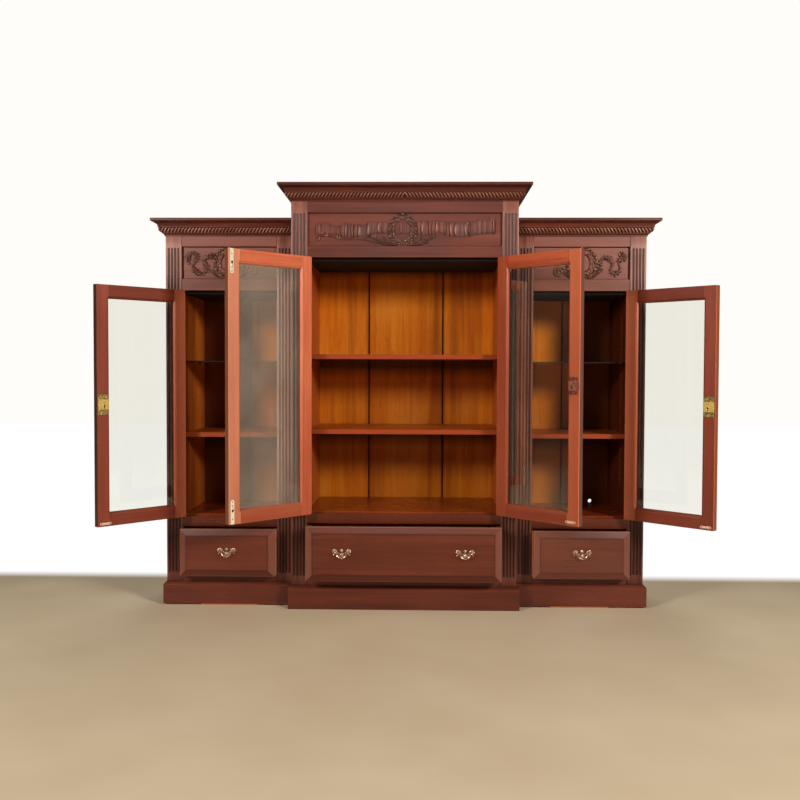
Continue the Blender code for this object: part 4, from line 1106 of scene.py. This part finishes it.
def front_lines(graph, colour, rough):
    # Painted shade along the step round each drawer's raised field, and a painted highlight on the rims.
    x, _, z = graph.parts()
    for side in SIDES:
        low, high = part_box(side + "_drawer_front")
        middle = (low + high) / 2
        inset = (high.x - middle.x - abs(x - middle.x)) & (high.z - middle.z - abs(z - middle.z))
        inside = inset > -0.001
        line = abs(inset - FIELD_INSET).span(0.0060, 0.0010, 0.0, 0.5) * inside
        colour = colour.mix(line, (46, 15, 8))
        colour = colour.mix(abs(inset).span(0.0024, 0.0006, 0.0, 0.5) * inside, (176, 120, 96))
    # The bevels are painted lighter at the sides and darker on the faces that turn down, for how the light
    # falls.
    lean, _, rise = graph.parts(graph.face())
    colour = colour.mix(abs(lean).span(0.05, 0.2, 0.0, 0.45), (136, 84, 66))
    colour = colour.mix(rise.span(-0.05, -0.2, 0.0, 0.5), (66, 23, 12))
    # The right drawer's front is a little paler.
    return colour.mix((x > WING_START) * 0.06, (204, 142, 118)), rough


def dress_drawers():
    front = ((80, 30, 16), (96, 40, 23), (112, 50, 31))
    box = ((170, 100, 66), (200, 130, 92), (220, 156, 118))
    front = wood("drawer_mahogany", *front, "X", 17.0, 0.25, 0.35, 0.55, front_lines)
    box = wood("drawer_side_wood", *box, "Y", 18.0, 0.6, 0.3, 0.2)
    for side in SIDES:
        set_finish(front, side + "_drawer_front")
        set_finish(box, side + "_drawer_box")


# Metal fittings
def turned(bm, centre, way, profile, sides=16):
    # A turned form, from pairs of a radius and a place along its axis.
    way = Vector(way).normalized()
    first = way.orthogonal().normalized()
    second = way.cross(first)
    rows = []
    for radius, along in profile:
        middle = Vector(centre) + way * along
        rows.append([middle + (first * cos(turn) + second * sin(turn)) * radius for turn in around(sides)])
    grid = sheet(bm, rows, close=True)
    for row in (grid[0], grid[-1]):
        bm.faces.new(row)


def on_leaf(name, lift=0.0):
    # Places on a door's inner face: across from its hinge edge, up, and out of the face.
    side, edge, front, angle = DOORS[name][:4]
    turn = Matrix.Rotation(side * radians(angle), 3, "Z")
    pivot = Vector((side * edge, front - HINGE_AXIS, 0))

    def site(across, up, out):
        return pivot + turn @ Vector((-side * across, LEAF_REAR + (out + lift), up))

    return site


def rounded_outline(middle, width, height, radius, square_way=0, steps=5):
    # Corner arcs, counted from the right of the foot. A square end keeps tiny corners.
    points = []
    for corner, (way_x, way_z) in enumerate(((1, -1), (1, 1), (-1, 1), (-1, -1))):
        size = min(0.0003, radius) if way_z == square_way else radius
        for step in range(steps + 1):
            turn = pi / 2 * (corner - 1 + step / steps)
            points.append((
                middle[0] + way_x * (width / 2 - size) + size * cos(turn),
                middle[1] + way_z * (height / 2 - size) + size * sin(turn),
            ))
    return points


def add_plate(bm, site, outline, thickness, hole=None):
    # A flat plate with eased edges, and a hole through it where one is given.
    ease = 0.0004
    middle = Vector([sum(values) / len(outline) for values in zip(*outline)])
    arms = [Vector(point) - middle for point in outline]
    eased = [middle + arm * (1 - ease / max(0.001, arm.length)) for arm in arms]
    levels = [(outline, 0), (outline, thickness - ease), (eased, thickness)]
    if hole:
        levels += [(hole, thickness), (hole, 0.0001)]
    grid = sheet(bm, [[site(*point, out) for point in ring] for ring, out in levels], close=True)
    if not hole:
        bm.faces.new(grid[-1])


# Turned outlines, as pairs of radius and height
SCREW = metres(((3.1, 0), (3, 0.5), (2.2, 0.9), (1, 1.15), (0.2, 1.2)))


def add_screw(bm, site, across, up, out, size, slant):
    # A slotted screw head. Its slot is cut as a step between two half domes.
    middle = site(across, up, out)
    way = site(across, up, out + 0.001) - middle
    turned(bm, middle, way, [(radius * size, along * size) for radius, along in SCREW], 12)
    for side in (-1, 1):
        corners = []
        for along, off in ((-1, 0.12), (1, 0.12), (1, 0.5), (-1, 0.5)):
            u = along * 0.0024 * cos(slant) - side * off * 0.003 * sin(slant)
            v = along * 0.0024 * sin(slant) + side * off * 0.003 * cos(slant)
            corners.append((across + u * size, up + v * size))
        rows = [[site(*corner, out + lift * size) for corner in corners] for lift in (0.0006, 0.0015)]
        bm.faces.new(sheet(bm, rows, close=True)[-1])


KNUCKLE = metres((
    (4, 15.4), (4.3, 15.7), (4.3, 28.7), (4, 29.1), (2.2, 29.3), (2.3, 30.1),
    (3.2, 30.9), (3.5, 32.1), (2.9, 33.3), (1.4, 34), (0.2, 34.2),
))


def dress_hinges(brass):
    # The fixed half of each butt hinge: two end knuckles with ball tips, and a leaf on the pilaster's edge.
    bm = bmesh.new()
    for name, (side, edge, front, *_) in DOORS.items():
        x = side * edge
        for level in hinge_levels(name):
            for way in (-1, 1):
                turned(bm, (x, front - HINGE_AXIS, level), (0, 0, way), KNUCKLE)
            near, far = x - side * 0.0001, x + side * 0.0009
            low, high = front - 0.0047, front + 0.0078
            corners = ((near, low), (far, low), (far, high), (near, high))
            rows = [[(*place, level + rise) for place in corners] for rise in (-0.029, 0.029)]
            for row in sheet(bm, rows, close=True):
                bm.faces.new(row)
    piece("fixed_hinge_halves", bm, brass, 40)


def dress_bolts(brass, steel):
    door = "centre_left_door"
    site = on_leaf(door)
    length = 0.0905
    for name, way in (("upper", 1), ("lower", -1)):
        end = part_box(name + "_flush_bolt")[1 if way > 0 else 0].z
        knob = end - way * 0.0585
        slot = (0.3640, knob + way * 0.005)
        outline = rounded_outline((0.3650, end - way * (length / 2 - 0.0005)), 0.0155, length, 0.0076, way)
        # Thin, because the closed door's inner face lies 0.7 mm from its stop.
        bm = bmesh.new()
        add_plate(bm, site, outline, 0.0005, rounded_outline(slot, 0.0086, 0.0190, 0.0042))
        piece(name + "_bolt_face_plate", bm, brass, 30, door)
        bm = bmesh.new()
        for place in (end - way * 0.0195, knob - way * 0.0095, knob - way * 0.0235):
            add_screw(bm, site, 0.3650, place, 0.0004, 0.8, 0.3)
        add_plate(bm, site, rounded_outline(slot, 0.0082, 0.0186, 0.0040), 0.0005)
        piece(name + "_bolt_screws", bm, steel, 30, door)


def dress_catches(plate, steel):
    # The strike plates of spring catches, low on three doors.
    across = 0.3455
    for name, level in (("left_door", 0.3680), ("centre_right_door", 0.3925), ("right_door", 0.3680)):
        site = on_leaf(name)
        bm = bmesh.new()
        add_plate(bm, site, rounded_outline((across, level), 0.0450, 0.0092, 0.0045), 0.0012)
        raised = rounded_outline((across, level), 0.0200, 0.0048, 0.0023)
        add_plate(bm, on_leaf(name, 0.0011), raised, 0.0014)
        piece(name + "_catch_plate", bm, plate, 30, name)
        bm = bmesh.new()
        for offset in (-0.0165, 0.0165):
            add_screw(bm, site, across + offset, level, 0.0011, 0.75, 0.9)
        piece(name + "_catch_screws", bm, steel, 30, name)


# Each lock's door, middle, level, width and height,
# and its finish: base, stain, edging, gloss, seed and stained share
LOCKS = {
    "left": (
        "left_door", 0.3518, 0.8120, 0.041, 0.076,
        ((255, 222, 128), (190, 144, 66), (112, 82, 46), 0.26, 1.0, 0.3),
    ),
    "centre": (
        "centre_right_door", 0.3523, 0.8885, 0.036, 0.063,
        ((190, 116, 96), (34, 12, 8), (84, 34, 26), 0.30, 3.0, 0.8),
    ),
    "right": (
        "right_door", 0.3518, 0.8120, 0.041, 0.076,
        ((252, 218, 126), (186, 140, 64), (84, 70, 40), 0.26, 5.0, 0.3),
    ),
}


def lock_metal(name, door, middle, level, finish):
    base, dark, flange, gloss, seed, stain = finish

    def mark(graph, colour, rough):
        x, _, z = graph.parts(closed_place(graph, door))
        across = x * float(-DOORS[door][0]) - middle
        rise = z - level
        outside = abs(rise) > 0.0192
        worn = graph.noise(graph.place, 230, 2, 0.6).span(0.55, 0.62, 0.0, 0.75)
        colour = colour.mix(outside * 0.85, graph.mix(worn, flange, base))
        down = rise + 0.004
        round_hole = across * across + down * down < 0.0034 ** 2
        hole = round_hole | (abs(across) < 0.0018) * (abs(down + 0.0045) < 0.0050)
        colour = colour.mix(hole, (8, 5, 4))
        return colour, hole * 0.4 + (outside * 0.12 + rough), (1.0 - hole) * 0.6

    return metal(name + "_lock_metal", base, dark, gloss, stain, seed, mark)


def dress_locks():
    for name, (door, middle, level, width, height, finish) in LOCKS.items():
        material = lock_metal(name, door, middle, level, finish)
        set_finish(material, name + "_lock_case", name + "_lock_bolt")
        site = on_leaf(door)
        bm = bmesh.new()
        for across in (-1, 1):
            for up in (-1, 1):
                place = (middle + across * width * 0.31, level + up * (height / 2 - 0.0075))
                add_screw(bm, site, *place, 0.0017, 0.95, 0.5 + across + up)
        # A raised collar round the keyhole.
        keyhole = (middle, level - 0.0062)
        collar = rounded_outline(keyhole, 0.0098, 0.0158, 0.0048)
        add_plate(bm, on_leaf(door, 0.0082), collar, 0.0005, rounded_outline(keyhole, 0.0062, 0.0122, 0.0030))
        piece(name + "_lock_screws", bm, material, 30, door)


PULLS = {
    "left": "left_drawer",
    "centre_left": "centre_drawer",
    "centre_right": "centre_drawer",
    "right": "right_drawer",
}
# Turned outlines, as pairs of radius and height
COLLAR = metres(((6.4, -0.4), (6.4, 0.6), (5.6, 1.1), (4.8, 1), (4.6, 2), (3.8, 2.8), (3.6, 4)))
HEAD = metres(((2.9, -0.4), (3.6, 0), (3.7, 1), (3.2, 2.1), (2, 2.9), (0.2, 3.1)))
# Each bead on both sides of a pull plate: across, up, size, height and stretch
PULL_BEADS = (
    (0.0275, 0.0140, 0.0068, 0.0019, 0.85),
    (0.0330, 0.0085, 0.0040, 0.0016, 1.3),
    (0.0195, 0.0100, 0.0034, 0.0014, 1.5),
    (0.0305, -0.0030, 0.0040, 0.0017, 0.8),
    (0.0145, 0.0030, 0.0026, 0.0012, 1.6),
    (0.0080, 0.0020, 0.0020, 0.0016, 0.8),
    (0.0110, -0.0052, 0.0022, 0.0014, 2.0),
    (0.0066, -0.0110, 0.0020, 0.0014, 1.0),
)


def dress_pull(name, drawer, brass):
    # Relief on the pierced plate, and the posts' collars and heads.
    low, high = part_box(name + "_pull_plate")
    middle = (low.x + high.x) / 2
    level = (low.z + high.z) / 2
    face = high.y - 0.0022
    pivot = level + 0.0065
    bm = bmesh.new()
    for side in (-1, 1):
        post = middle + side * 0.024
        turned(bm, (post, face, pivot), (0, -1, 0), COLLAR)
        # The posts' heads keep clear of the bail, which swings between them.
        turned(bm, (post + side * 0.0010, low.y, pivot), (0, -1, 0), HEAD)
        for x, z, size, tall, stretch in PULL_BEADS:
            add_bead(bm, (middle + side * x, face, level + z), size, tall, 12, 4, stretch)
    add_bead(bm, (middle, face, level + 0.0135), 0.0074, 0.0024, 4, 2, 1.05)
    add_bead(bm, (middle, face, level - 0.0045), 0.0082, 0.0028, 16, 5, 0.95)
    add_bead(bm, (middle, face - 0.0020, level - 0.0045), 0.0040, 0.0016, 12, 4)
    add_bead(bm, (middle, face, level - 0.0180), 0.0032, 0.0020, 12, 4)
    piece(name + "_pull_relief", bm, brass, 50, drawer)


def dress_metal():
    bright = metal("bright_brass_finish", (255, 250, 222), (255, 226, 160), 0.22, 0.3, 1.0, share=0.2)
    aged = metal("antique_brass_finish", (214, 176, 152), (70, 44, 32), 0.24, 0.6, 2.0, share=0.75)
    # The pull plates are painted darker than their relief and bails, as shade.
    plate = metal("shaded_pull_plate_finish", (128, 100, 80), (36, 22, 14), 0.32, 0.7, 3.0, share=0.75)
    steel = metal("aged_steel_finish", (58, 38, 26), (24, 16, 11), 0.36, 0.6, 4.0)
    catch = metal("catch_plate_finish", (250, 214, 190), (200, 150, 120), 0.34, 0.35, 6.0, share=0.3)
    set_finish(bright, "upper_flush_bolt", "lower_flush_bolt")
    for name, drawer in PULLS.items():
        set_finish(plate, name + "_pull_plate")
        set_finish(aged, name + "_pull_bail")
        dress_pull(name, drawer, aged)
    dress_hinges(bright)
    dress_bolts(bright, steel)
    dress_catches(catch, steel)
    dress_locks()


place_camera()
light_studio()
lay_floor()
dress_case()
dress_inside()
dress_doors()
dress_drawers()
dress_metal()
